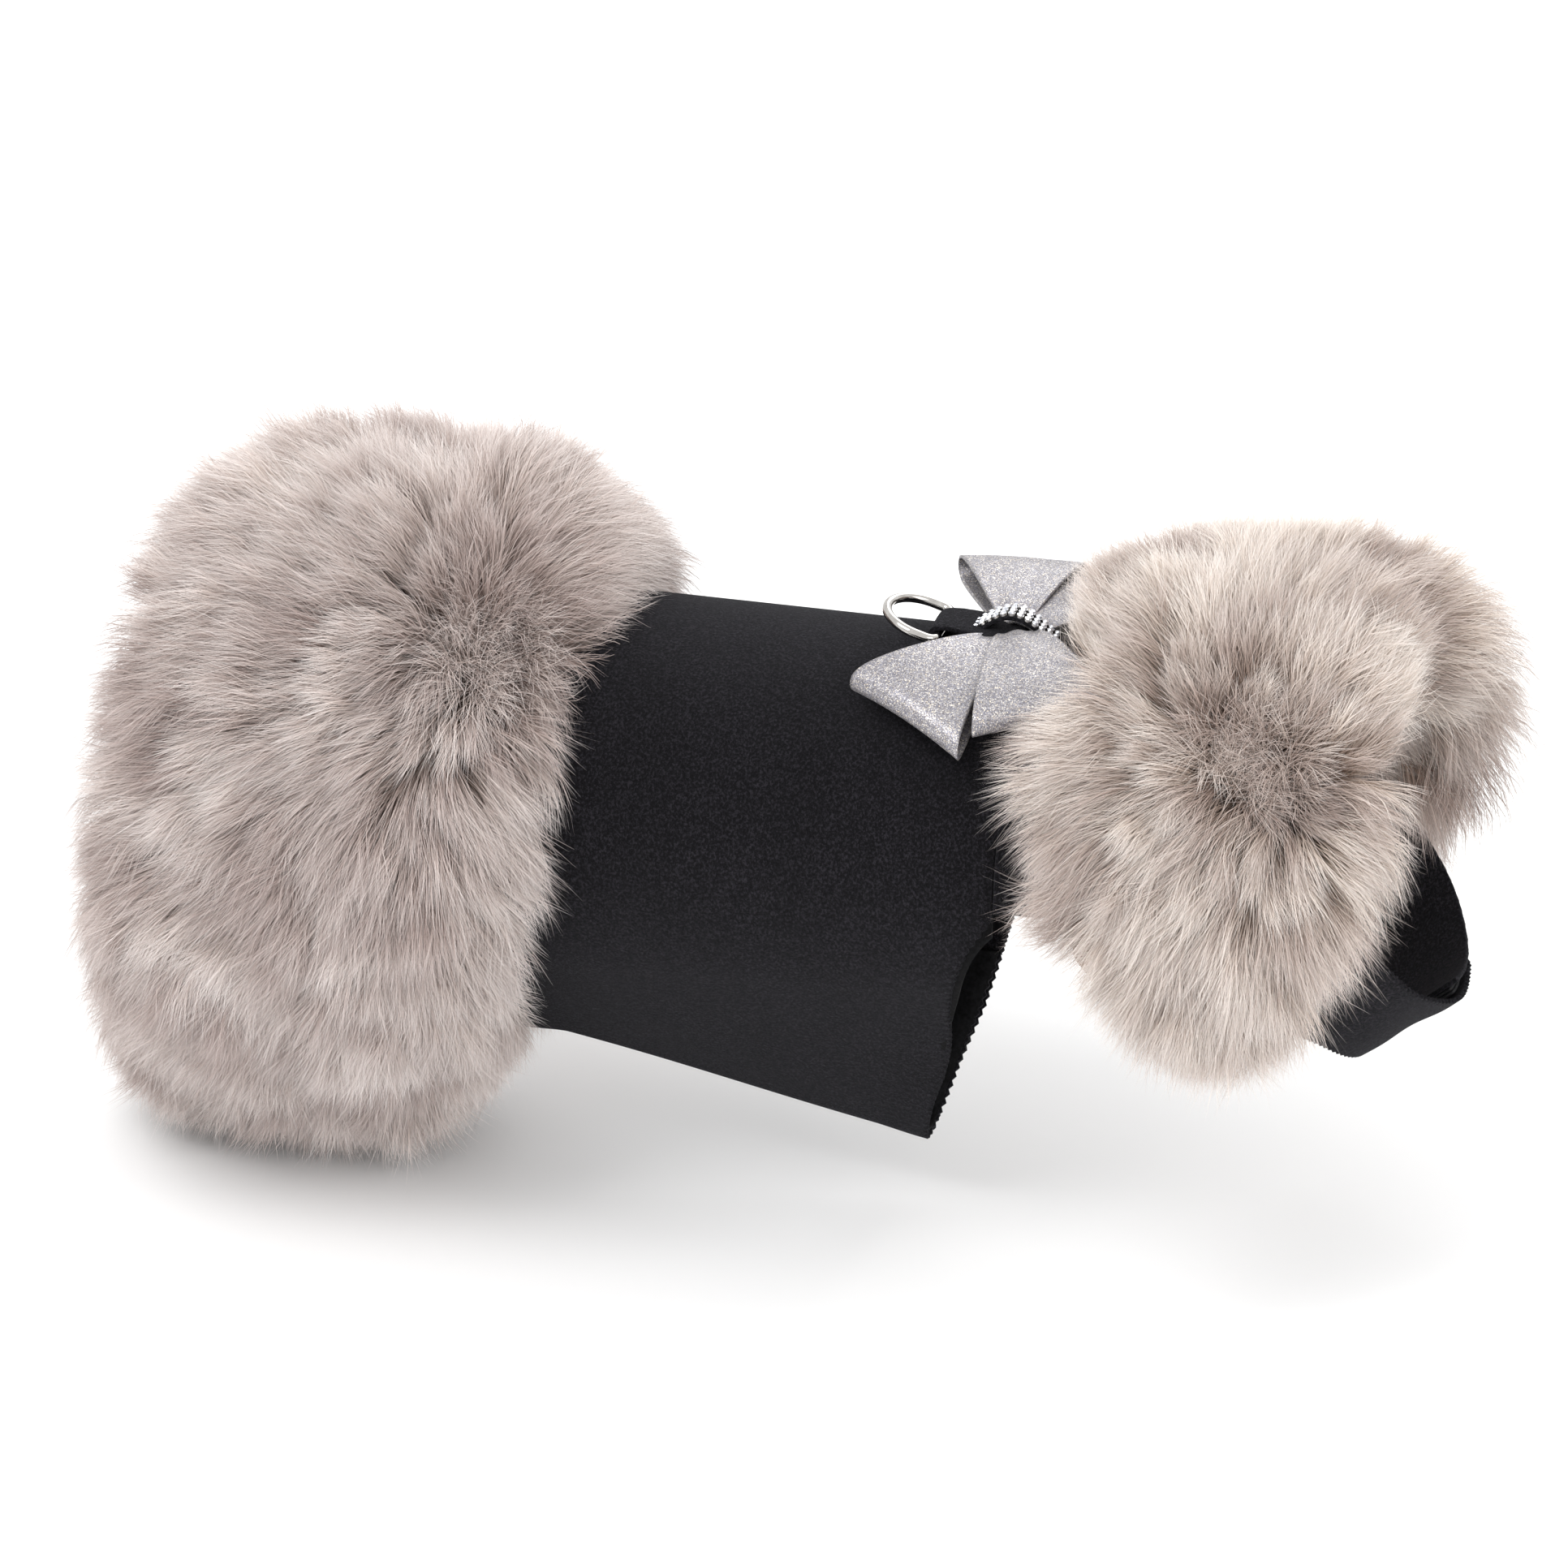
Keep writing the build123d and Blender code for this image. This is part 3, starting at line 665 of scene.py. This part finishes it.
def write_strands(name, strands, pieces, mat):
    """Makes the strands as ribbons of two quads and a tip, split by their angle round the coat."""
    points, side, width, tone = strands
    order = np.argsort(np.arctan2(points[:, 0, 1], points[:, 0, 2] - 100.0))
    for k, share in enumerate(np.array_split(order, pieces)):
        r, s, w, u = points[share], side[share], width[share], tone[share]
        m = len(share)
        half = s[:, None] * (w[:, None] * np.array(STRAND_HALF_WIDTHS))[..., None]
        left, right = r[:, :3] - half, r[:, :3] + half
        verts = np.concatenate([np.stack([left, right], 2).reshape(m, 6, 3), r[:, 3:4]], 1)
        v = np.array([0.02, 0.02, 0.36, 0.36, 0.70, 0.70, 0.98])
        uv = np.stack([np.repeat(u[:, None], 7, 1), np.repeat(v[None], m, 0)], -1)
        base = (np.arange(m) * 7)[:, None]
        quads = np.concatenate([base + np.array([0, 1, 3, 2]), base + np.array([2, 3, 5, 4])])
        tips = base + np.array([4, 5, 6])
        mesh_object(f"{name}_{k + 1}", row(verts.reshape(-1, 3)), [quads, tips], mat,
                    uv=uv.reshape(-1, 2))


def mottle(p, width, depth):
    """Lighter and darker patches."""
    x, z = p[:, 0], p[:, 2]
    across = np.sin(x / width[0] + 1.7 * np.sin(z / depth[0]))
    return 0.17 * across * np.sin(z / depth[1] + 1.3 * np.sin(x / width[1]))


HEM_SWIRL = np.array([-84.0, -43.0, 157.0])


def far_fall(p, middle):
    """On the left side the hair falls, and parts a little to the front and rear."""
    spread = 0.5 * np.tanh((p[:, 0] - middle) / 30)
    return unit(np.stack([spread, np.zeros(len(p)), np.full(len(p), -1.0)], -1))


def hem_flow(p, n):
    """Away from the swirl on the right, falling on the left, and outward at the band's rear and front."""
    near = p - HEM_SWIRL
    near_lay = smoothstep(0, 36, np.linalg.norm(near, axis=-1))
    w = smoothstep(25, 60, p[:, 1])[:, None]
    v = unit(near) * (1 - w) + far_fall(p, HEM_MIDDLE) * w
    low = smoothstep(120, 60, p[:, 2])[:, None]
    v = v + np.array([0, 0, -0.9]) * low
    at = p[:, 0] - REAR_LEAN * (p[:, 2] - LEAN_Z) - HEM_MIDDLE
    rear = smoothstep(0, -40, at)[:, None]
    v = v + np.array([-0.7, 0, 0]) * rear
    front = smoothstep(22, 44, at)[:, None]
    under = smoothstep(45, 5, p[:, 2])[:, None]
    v = v + np.array([0.9, 0, 0]) * front * (1 - 1.6 * under)
    lay = 9 + 11 * (near_lay * (1 - w[:, 0]) + w[:, 0])
    height = 22.0 + 4.0 * smoothstep(90, 170, p[:, 2]) - 4.0 * front[:, 0] + 1.0 * rear[:, 0]
    height = height - 10.0 * front[:, 0] * under[:, 0] - 4.0 * hem_loose(p)
    return v, lay, height


def hem_loose(p):
    """How much the hair at the swirl's centre lies in all directions."""
    return smoothstep(20, 4, np.linalg.norm(p - HEM_SWIRL, axis=-1))


def hem_tone_and_painted_shading(p):
    """Mottled tone, lighter on the back as painted light from above, and darker at the swirl, partly the
    browner roots that show there and partly painted shade in its pit.
    """
    d = np.linalg.norm(p - HEM_SWIRL, axis=-1)
    # The back's lightening is painted light; the swirl's darkening is partly painted shade in its pit.
    return mottle(p, (9, 17), (14, 11)) + 0.16 * smoothstep(120, 175, p[:, 2]) - 0.34 * smoothstep(44, 5, d)


ROOM_SHARE, ROOM_MORE = 0.03, 0.0095


def inside_room(points):
    """Strands that stay within the CAD model's bounds, widened by a small room where cloth stands proud of
    it.
    """
    room = ROOM_SHARE * (np.array(cad_high) - np.array(cad_low)) + ROOM_MORE
    at = row(points)
    return np.all((at > np.array(cad_low) - room) & (at < np.array(cad_high) + room), axis=(1, 2))


COLLAR_PART = np.array([[128.0, -50.0, 157.0], [142.0, -53.0, 151.0]])


def from_parting(p):
    """Away from the parting, a short line over the collar from the swirl's pit to the front edge."""
    start, end = COLLAR_PART
    run = end - start
    t = np.clip(((p - start) @ run) / (run @ run), 0, 1)
    return p - (start + t[:, None] * run)


def collar_loose(p):
    """How much the hair along the parting lies in all directions."""
    return smoothstep(12, 2, np.linalg.norm(from_parting(p), axis=-1))


def from_neck_line(p):
    """From the collar's own axis, straight out."""
    out = p - COLLAR_CENTRE
    return unit(out - (out @ COLLAR_ALONG)[:, None] * COLLAR_ALONG)


def collar_flow(p, n):
    """Away from the parting on the right, falling on the left, longest at the left side's front and end."""
    near = from_parting(p)
    w = smoothstep(22, 55, p[:, 1])[:, None]
    near_lay = smoothstep(0, 26, np.linalg.norm(near, axis=-1))
    v = unit(near) * (1 - w) + far_fall(p, 118.0) * w
    low = smoothstep(125, 75, p[:, 2])[:, None]
    v = v + np.array([0, 0, -1.0]) * low
    full = near_lay * (1 - w[:, 0]) + w[:, 0]
    outward = np.sum(from_neck_line(p) * n, -1)
    height = (20.5 - 9.0 * smoothstep(0.1, -0.8, outward)) * (0.72 + 0.28 * full)
    far_front = smoothstep(5, 40, p[:, 1]) * smoothstep(0.0, 0.7, n[:, 0])
    height = height + 8.0 * far_front - 8.0 * smoothstep(110, 65, p[:, 2]) * (1 - w[:, 0])
    far_low = smoothstep(10, 38, p[:, 1]) * smoothstep(118, 84, p[:, 2])
    v = v + np.array([0.8, 0, -0.5]) * far_front[:, None]
    return v, 8 + 11 * full + 6 * far_front + 12 * far_low, height


def collar_tone_and_painted_shading(p):
    """Mottled tone, lighter on the back of the neck as painted light from above, darker along the parting as
    painted shade in its crease, where the browner roots also show, and darker on the left side's inner face
    as painted shade.
    """
    d = np.linalg.norm(from_parting(p), axis=-1)
    # Painted shade on the left side's inner face, which lies away from the light.
    far = smoothstep(150, 172, p[:, 0]) * smoothstep(-20, 25, p[:, 1])
    # Painted light on the back of the neck, lit from above.
    top = smoothstep(130, 170, p[:, 2]) * smoothstep(150, 110, p[:, 0])
    return mottle(p, (8, 15), (13, 10)) + 0.22 * top - 0.48 * smoothstep(26, 3, d) - 0.26 * far


BOW_CENTRE = np.array([56.0, 0.0, SPINE_Z + 4.0])


def clear_of_bow(points):
    """Leaves out the hair that would cover the bow, its band and the near loops."""
    v = points - BOW_CENTRE
    reach = np.hypot(v[..., 0], v[..., 1])
    angle = np.degrees(np.arctan2(v[..., 1], v[..., 0]))
    loop = (reach < 48) & (angle < -46) & (v[..., 2] > -20)
    band = (v[..., 0] < 15) & (np.abs(v[..., 1]) < 15)
    far = (reach < 42) & (angle > 80)
    return inside_room(points) & ~np.any(loop | band | far, axis=1)


def undercoat(name, core, rows, cols, wrap_a, wrap_b, node):
    """The closed body under the hair, from its core surface."""
    a = np.linspace(0, 1, rows, endpoint=not wrap_a)
    b = np.linspace(0, 1, cols, endpoint=not wrap_b)
    verts = core(*np.meshgrid(a, b, indexing="ij")).reshape(-1, 3)
    obj = mesh_object(name, row(verts), grid_faces(rows, cols, wrap_a, wrap_b), UNDERCOAT)
    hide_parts(node)


undercoat("hem_fur_undercoat", hem_core, 200, 40, True, False, "hem_fur_pile")
undercoat("collar_fur_undercoat", collar_core, 160, 48, False, True, "collar_fur_pile")

HEM_STRANDS, COLLAR_STRANDS = int(272000 * DENSITY), int(195000 * DENSITY)
HEM_PIECES, COLLAR_PIECES = 7, 5

hem = Pile(hem_core, hem_flow, hem_loose, 0.47, hem_tone_and_painted_shading, inside_room, seed=7, a_span=(0.0, 1.0))
hem.face_away(lambda p: [HEM_MIDDLE, 0, 95])
write_strands("hem_fur_strands", hem.grow(HEM_STRANDS, 14.0, 3.0), HEM_PIECES, HEM_FUR)

collar = Pile(collar_core, collar_flow, collar_loose, 0.52, collar_tone_and_painted_shading, clear_of_bow, seed=11,
              a_span=(0.001, 0.999))
collar.face_away(lambda p: COLLAR_CENTRE + from_neck_line(p) * COLLAR_CORE[0])
write_strands("collar_fur_strands", collar.grow(COLLAR_STRANDS, 13.0, 2.9), COLLAR_PIECES, COLLAR_FUR)


# ---- back panel --------------------------------------------------------------------------------------
LEG_EDGE_X, LEG_EDGE_Z = np.array([
    (31.0, -9.0), (33.0, 3.0), (38.5, 20.0), (43.0, 33.0), (45.5, 44.0), (48.5, 62.0), (52.5, 76.0),
    (57.5, 90.0), (64.0, 101.0), (66.0, 130.0),
]).T
LEG_TOP_Z = 101
SLIT_LOW, SLIT_HIGH = 49.6, 50.4
PANEL_REAR_X, PANEL_COLS, PANEL_GROW, PANEL_THICK = -181.0, 76, -0.7, 1.4
TOOTH_STEPS, STRAP_TOOTH_STEPS = 4.0, 5.0
LEFT_SIDE_WAVES = 0.15


def panel_rows():
    """Positions round the coat, from the slit's upper edge over the back and the belly to its lower edge."""
    h = np.linspace(0, 1, 300)
    z = torso_point(np.zeros_like(h), h, np.ones_like(h), 0.0)[0][:, 2]
    upper, lower = h[z > SLIT_HIGH][::-1], h[z < SLIT_LOW][::-1]
    places = [(t, 1.0) for t in upper] + [(t, -1.0) for t in h[1:]] + [(t, 1.0) for t in lower[1:]]
    return np.array(places).T


def panel():
    """The suede panel: a sheet with a pinked front edge and the soft waves of cloth held at both ends."""
    h, side = panel_rows()
    front = np.full(len(h), ARMHOLE_X)
    for _ in range(3):
        z = torso_point(front, h, side, 0.0)[0][:, 2]
        front = np.where(z < LEG_TOP_Z, np.interp(z, LEG_EDGE_Z, LEG_EDGE_X), ARMHOLE_X)
    edge = 0.9 * zigzag(len(h), TOOTH_STEPS) + 0.7 * np.sin(np.arange(len(h)) / 16.0)
    front = front + np.where(z < LEG_TOP_Z, edge, 0.0)
    c = np.linspace(0, 1, PANEL_COLS) ** 0.8
    rear = PANEL_REAR_X + REAR_LEAN * (z - LEAN_Z)
    x = rear[:, None] + (front - rear)[:, None] * c[None]
    hh, ss = np.repeat(h[:, None], PANEL_COLS, 1), np.repeat(side[:, None], PANEL_COLS, 1)
    point, normal = torso_point(x, hh, ss, PANEL_GROW)
    low = smoothstep(0.25, 0.7, hh)
    z = point[..., 2]
    wave = 0.7 * np.sin(x / 21.0 + 2.2 * np.sin(z / 37.0)) * np.sin(z / 29.0 + 0.6) * low
    curl = 1.1 * smoothstep(0.93, 1.0, c)[None] * smoothstep(0.2, 0.5, hh) * np.sin(z / 11.0)
    point = point + normal * ((wave + curl) * np.where(ss < 0, 1.0, LEFT_SIDE_WAVES))[..., None]
    faces = grid_faces(len(h), PANEL_COLS)
    obj = mesh_object("back_panel_cloth", row(point.reshape(-1, 3)), faces, SUEDE)
    thicken(obj, PANEL_THICK)
    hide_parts("back_panel")
    girth = np.linalg.norm(np.diff(point[:, PANEL_COLS // 2], axis=0), axis=-1).sum() * MM
    length = float((front - rear).max()) * MM
    quads = point[1:, 1:] - point[:-1, :-1], point[1:, :-1] - point[:-1, 1:]
    area = 0.5 * np.linalg.norm(np.cross(*quads), axis=-1).sum() * MM * MM
    flat = (round(float(girth), 3), round(length, 3))
    area = float(min(area, flat[0] * flat[1]))


panel()


# ---- the smaller cloth pieces ------------------------------------------------------------------------
LONGEST_EDGE = 5


def soften(points, amount, wave):
    """Moves cloth by a slow field of waves, both of its faces alike, so that it keeps its thickness."""
    x, y, z = (points / MM / wave).T
    move = np.sin(y + 1.3 * np.sin(z)), np.sin(z + 1.7 * np.sin(x)), np.sin(x + 1.1 * np.sin(y))
    return points + np.stack(move, -1) * amount * MM


def cloth(node, mat, voxel, amount=0.3, wave=9.0):
    """A cloth piece in the room of its CAD solid, a little uneven, with rounded edges where voxel is set."""
    source = frame["nodes"][node]
    obj = bpy.data.objects.new(node + "_cloth", source.data.copy())
    bpy.context.scene.collection.objects.link(obj)
    obj.data.materials.clear()
    obj.data.materials.append(mat)
    if voxel:
        remesh = obj.modifiers.new("remesh", "REMESH")
        remesh.mode, remesh.voxel_size, remesh.use_smooth_shade = "VOXEL", voxel * MM, True
        smooth = obj.modifiers.new("round_edges", "SMOOTH")
        smooth.factor, smooth.iterations = 0.5, 4
        bake_modifiers(obj)
        if not obj.data.materials:
            obj.data.materials.append(mat)
    else:
        work = bmesh.new()
        work.from_mesh(obj.data)
        bmesh.ops.remove_doubles(work, verts=work.verts, dist=1e-6)
        for _ in range(4):
            long_edges = [e for e in work.edges if e.calc_length() > LONGEST_EDGE * MM]
            bmesh.ops.subdivide_edges(work, edges=long_edges, cuts=1)
        bmesh.ops.triangulate(work, faces=work.faces)
        work.to_mesh(obj.data)
        work.free()
    points = np.empty(len(obj.data.vertices) * 3)
    obj.data.vertices.foreach_get("co", points)
    obj.data.vertices.foreach_set("co", soften(points.reshape(-1, 3), amount, wave).ravel())
    obj.data.update()
    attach(obj, *body_of(source))
    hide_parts(node)


cloth("neck_yoke", SUEDE, 0.55)
cloth("crystal_band", SUEDE, 0.25, 0.1)
cloth("chest_strap_left", SUEDE, 0.45, 0.5)
cloth("collar_fur_backing", TAN, 0.7)
cloth("ring_anchor_web", LINING, 0.5, 0.1)
cloth("yoke_lining", LINING, None, 0.2)
cloth("body_lining", LINING, None, 0.2)
cloth("hem_fur_backing", TAN, None, 0.2)
for place, length in (("chest", 0.028), ("belly", 0.080)):
    for kind in ("loop", "hook"):
        cloth(f"{place}_{kind}_strip", FASTENER, 0.35, 0.1)


# ---- cloth that bends at a joint ---------------------------------------------------------------------
CHEST_CENTRE, CHEST_LEAN = np.array([136.0, 0.0, 109.0]), math.radians(38)
CHEST_SIDE, CHEST_DROP = 44.0, 60.0
STRAP_FROM, STRAP_TO, STRAP_RUN, STRAP_GROW = 197, 292, 92.0, 3.25
STRAP_END_ROUND = 9.0
CLOTH_THICK = 1.3
STRAP_BENDS = (218.0, 226.0)
FLAP_REAR_X, FLAP_WIDE, FLAP_TOP_Z, FLAP_END = -64.0, 110.0, 82.0, 0.978
FLAP_BENDS = ([7, 46.2, 65.5], [7, 46.2, 58.5])


def bending_sheet(name, point, body, bends, nodes):
    """A sheet from a grid of points, thickened, that bends between the coat and the body across a joint."""
    rows, cols = point.shape[:2]
    faces = grid_faces(rows, cols)
    obj = mesh_object(name, row(point.reshape(-1, 3)), faces, SUEDE, body=None)
    thicken(obj, CLOTH_THICK)
    bake_modifiers(obj)
    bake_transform(obj, "coat", body, start=tuple(row(bends[0])), end=tuple(row(bends[1])))
    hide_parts(*nodes)


def chest_point(angle, grow, along):
    """A point on the chest strap's ring: 180 degrees at the right side and 270 under the throat."""
    up = np.array([-math.sin(CHEST_LEAN), 0, math.cos(CHEST_LEAN)])
    axis = np.array([math.cos(CHEST_LEAN), 0, math.sin(CHEST_LEAN)])
    a = np.radians(angle)
    side = ((CHEST_SIDE + grow) * np.cos(a))[..., None] * np.array([0, 1.0, 0])
    return CHEST_CENTRE + side + ((CHEST_DROP + grow) * np.sin(a))[..., None] * up + along[..., None] * axis


def chest_strap():
    """The right chest strap, with its round end and pinked edges."""
    rows, cols = 210, 34
    angle = np.linspace(STRAP_FROM, STRAP_TO, rows)
    to_end = (STRAP_TO - angle) / (STRAP_TO - STRAP_FROM) * STRAP_RUN
    corner = np.clip(STRAP_END_ROUND - to_end, 0, STRAP_END_ROUND - 0.01)
    rounding = STRAP_END_ROUND - np.sqrt(STRAP_END_ROUND ** 2 - corner ** 2)
    half = 17.6 - 1.4 * smoothstep(214, 232, angle) - rounding
    half = half + 0.8 * zigzag(rows, STRAP_TOOTH_STEPS)
    across = np.linspace(-1, 1, cols)[None]
    turn = np.repeat(angle[:, None], cols, 1)
    crease = 0.35 * np.sin(turn / 6.0 + 2.0 * across) + 0.25 * np.sin(across * 5 + turn / 15)
    point = chest_point(turn, STRAP_GROW + crease, half[:, None] * across)
    bends = [chest_point(np.array(a), 3.6, np.array(0.0)) for a in STRAP_BENDS]
    bending_sheet("chest_strap_right_cloth", point, "chest_tab", bends,
                  ["chest_strap_root", "chest_strap_tab"])


def belly_cover():
    """The belly flap with the part that is sewn to the left side, one cloth that turns at the seam."""
    rows, cols = 130, 110
    c, t = np.linspace(0, 1, cols), np.linspace(0, 1, rows)
    scan = np.linspace(0.2, 1, 900)
    section = torso_point(np.zeros_like(scan), scan, np.ones_like(scan), 0.0)[0]
    top = np.interp(-FLAP_TOP_Z, -section[:, 2], scan)
    h = np.repeat((top + (FLAP_END - top) * t)[:, None], cols, 1)
    x = np.repeat((FLAP_REAR_X + FLAP_WIDE * c)[None], rows, 0)
    for _ in range(4):
        z = torso_point(x, h, np.ones_like(h), 0.0)[0][..., 2]
        front = np.interp(z[:, -1], LEG_EDGE_Z, LEG_EDGE_X) - 0.6
        x = FLAP_REAR_X + (front[:, None] - FLAP_REAR_X) * c[None]
    x = x + 0.8 * zigzag(rows, TOOTH_STEPS)[:, None] * smoothstep(0.97, 1.0, c)[None]
    out = 0.75 + 2.35 * smoothstep(68, 60, z)
    wave = 0.3 * np.sin(x / 17.0 + z / 13.0) * smoothstep(66, 50, z)
    point = torso_point(x, h, np.ones_like(h), out + wave + 0.3 * smoothstep(66, 55, z))[0]
    bending_sheet("belly_flap_cloth", point, "belly_flap", FLAP_BENDS,
                  ["belly_flap_seam", "belly_flap"])


chest_strap()
belly_cover()


# ---- bow ---------------------------------------------------------------------------------------------
LOOP_START, LOOP_END, LOOP_HALF_WIDTH = 5, 46.0, 19.5
LOOP_PATH = [(5, 0.6), (13, 3.0), (26, 4.6), (38, 4.7), (44.6, 3.2), (46.3, 0.0), (44.2, -2.9), (37, -3.4),
             (24, -2.6), (12, -1.6), (5, -0.8)]
RIBBON_FLAT, RIBBON_THICK = (0.041, 0.0845), 0.9
TAB_BAR = np.array([RING_BAR_X, 0.0, SPINE_Z + 4.4])
TAB_PATH = [(26, -3.2), (14, -3.3), (5, -3.1), (1, -2.4), (-1.7, -1.6), (-2.35, 0), (-1.7, 1.6), (0, 2.35),
            (4, 2.5), (12, 1.5), (20, -0.2), (26, -1.6)]


def catmull(points, t):
    """A smooth curve through points, at t from 0 to 1."""
    points = np.asarray(points, float)
    points = np.concatenate([[2 * points[0] - points[1]], points, [2 * points[-1] - points[-2]]])
    at = t * (len(points) - 3)
    i = np.minimum(at.astype(int), len(points) - 4)
    u = (at - i)[:, None]
    a, b, c, d = points[i], points[i + 1], points[i + 2], points[i + 3]
    square, cube = 2 * a - 5 * b + 4 * c - d, 3 * b - a - 3 * c + d
    return 0.5 * (2 * b + (c - a) * u + square * u ** 2 + cube * u ** 3)


def path_grid(path, rows, cols):
    """The path's x and z on a grid, with -1 to 1 across it."""
    curve = catmull(path, np.linspace(0, 1, rows))
    x, z = np.repeat(curve[:, :1], cols, 1), np.repeat(curve[:, 1:], cols, 1)
    return x, z, np.repeat(np.linspace(-1, 1, cols)[None], rows, 0)


def ribbon_loop(node, turn, lift, sag, slope, scale, raised, start, fan):
    """One loop: a ribbon that goes out from the knot, folds over and comes back underneath."""
    rows, cols = 72, 40
    x, z, w = path_grid(LOOP_PATH, rows, cols)
    half = start + (LOOP_HALF_WIDTH - start) * ((x - LOOP_START) / (LOOP_END - LOOP_START)) ** fan
    pleat = 0.5 * np.cos(w * math.pi * 1.5) * np.clip(1 - x / 24, 0, 1)
    z = z + pleat * np.sign(z) + sag * (w ** 2) * (x / LOOP_END) ** 2
    y = w * half
    c, s = math.cos(math.radians(turn)), math.sin(math.radians(turn))
    x, y = x * scale, y * scale
    px, py = x * c - y * s, x * s + y * c
    pz = z + raised + slope * (np.sqrt(py ** 2 + 36) - 6) + lift * np.clip(-px, 0, None)
    verts = np.stack([px, py, pz], -1).reshape(-1, 3) + BOW_CENTRE
    name = node.replace("bow", "ribbon")
    obj = mesh_object(name, row(verts), grid_faces(rows, cols), GLITTER)
    thicken(obj, RIBBON_THICK)
    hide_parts(node)


def tab_fold():
    """The suede tab: one strip that goes round the ring's bar, its plies meeting under the bow."""
    rows, cols = 60, 24
    x, z, w = path_grid(TAB_PATH, rows, cols)
    z = z - 0.35 * w ** 4 * np.sign(z)
    y = w * (6.6 + 1.4 * smoothstep(-2, 14, x)) * (1 + 0.012 * np.sin(x * 1.9))
    verts = np.stack([x, y, z], -1).reshape(-1, 3) + TAB_BAR
    obj = mesh_object("ring_tab_cloth", row(verts), grid_faces(rows, cols), SUEDE)
    thicken(obj, CLOTH_THICK)
    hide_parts("ring_tab")


tab_fold()

# Each loop: its turn in degrees, lift, sag, slope, scale, height over the knot, half width there, and fan.
for node, *shape in (
    ("bow_loop_right_rear", -117, 0.12, -1.5, -0.31, 1.0, 0.0, 2.6, 1.05),
    ("bow_loop_right_front", -67, 0.0, -1.0, -0.22, 0.97, 2.6, 5.5, 0.8),
    ("bow_loop_left_rear", 100, 0.05, -1.0, 0.03, 0.94, 0.5, 4.0, 0.9),
    ("bow_loop_left_front", 57, 0.0, -1.0, -0.05, 0.96, 0.0, 5.5, 0.8),
):
    ribbon_loop(node, *shape)


# ---- stage -------------------------------------------------------------------------------------------
FLOOR_HALF, FLOOR_GAP = 6.0, 0.012
LIGHTS_AIM = (0, 0, 0.1)


def make_stage():
    """A pale floor a little under the coat, and a white surround."""
    mat, nodes, links, shader = material("pale_floor")
    shade = noise(nodes, links, 3, 2, 0.5)
    colour = ramp(nodes, links, shade, [(0.3, (0.93, 0.93, 0.93, 1)), (0.7, (0.95, 0.95, 0.95, 1))])
    links.new(colour, shader.inputs["Base Color"])
    shader.inputs["Roughness"].default_value = 0.9
    shader.inputs["Specular IOR Level"].default_value = 0.1
    size, low = FLOOR_HALF, cad_low.z - FLOOR_GAP
    mesh = bpy.data.meshes.new("floor")
    corners = [(-size, -size, low), (size, -size, low), (size, size, low), (-size, size, low)]
    mesh.from_pydata(corners, [], [(0, 1, 2, 3)])
    mesh.materials.append(mat)
    floor = bpy.data.objects.new("floor", mesh)
    bpy.context.scene.collection.objects.link(floor)
    world = bpy.context.scene.world or bpy.data.worlds.new("world")
    bpy.context.scene.world = world
    world.use_nodes = True
    back = world.node_tree.nodes["Background"]
    back.inputs["Color"].default_value = (1, 1, 1, 1)
    back.inputs["Strength"].default_value = 1.05


def area_light(name, at, size, power):
    data = bpy.data.lights.new(name, "AREA")
    data.shape, data.size, data.energy = "SQUARE", size, power
    lamp = bpy.data.objects.new(name, data)
    bpy.context.scene.collection.objects.link(lamp)
    lamp.location = at
    lamp.rotation_mode = "QUATERNION"
    lamp.rotation_quaternion = (Vector(LIGHTS_AIM) - Vector(at)).to_track_quat("-Z", "Y")


make_stage()
area_light("key", (-0.5, -0.9, 1.5), 0.9, 15)
area_light("fill", (1.3, -0.8, 0.8), 1.2, 7)
area_light("rim", (0.2, 1.3, 1.1), 1.0, 8)

view_settings = bpy.context.scene.view_settings
view_settings.view_transform = "Standard"
view_settings.look = "None"
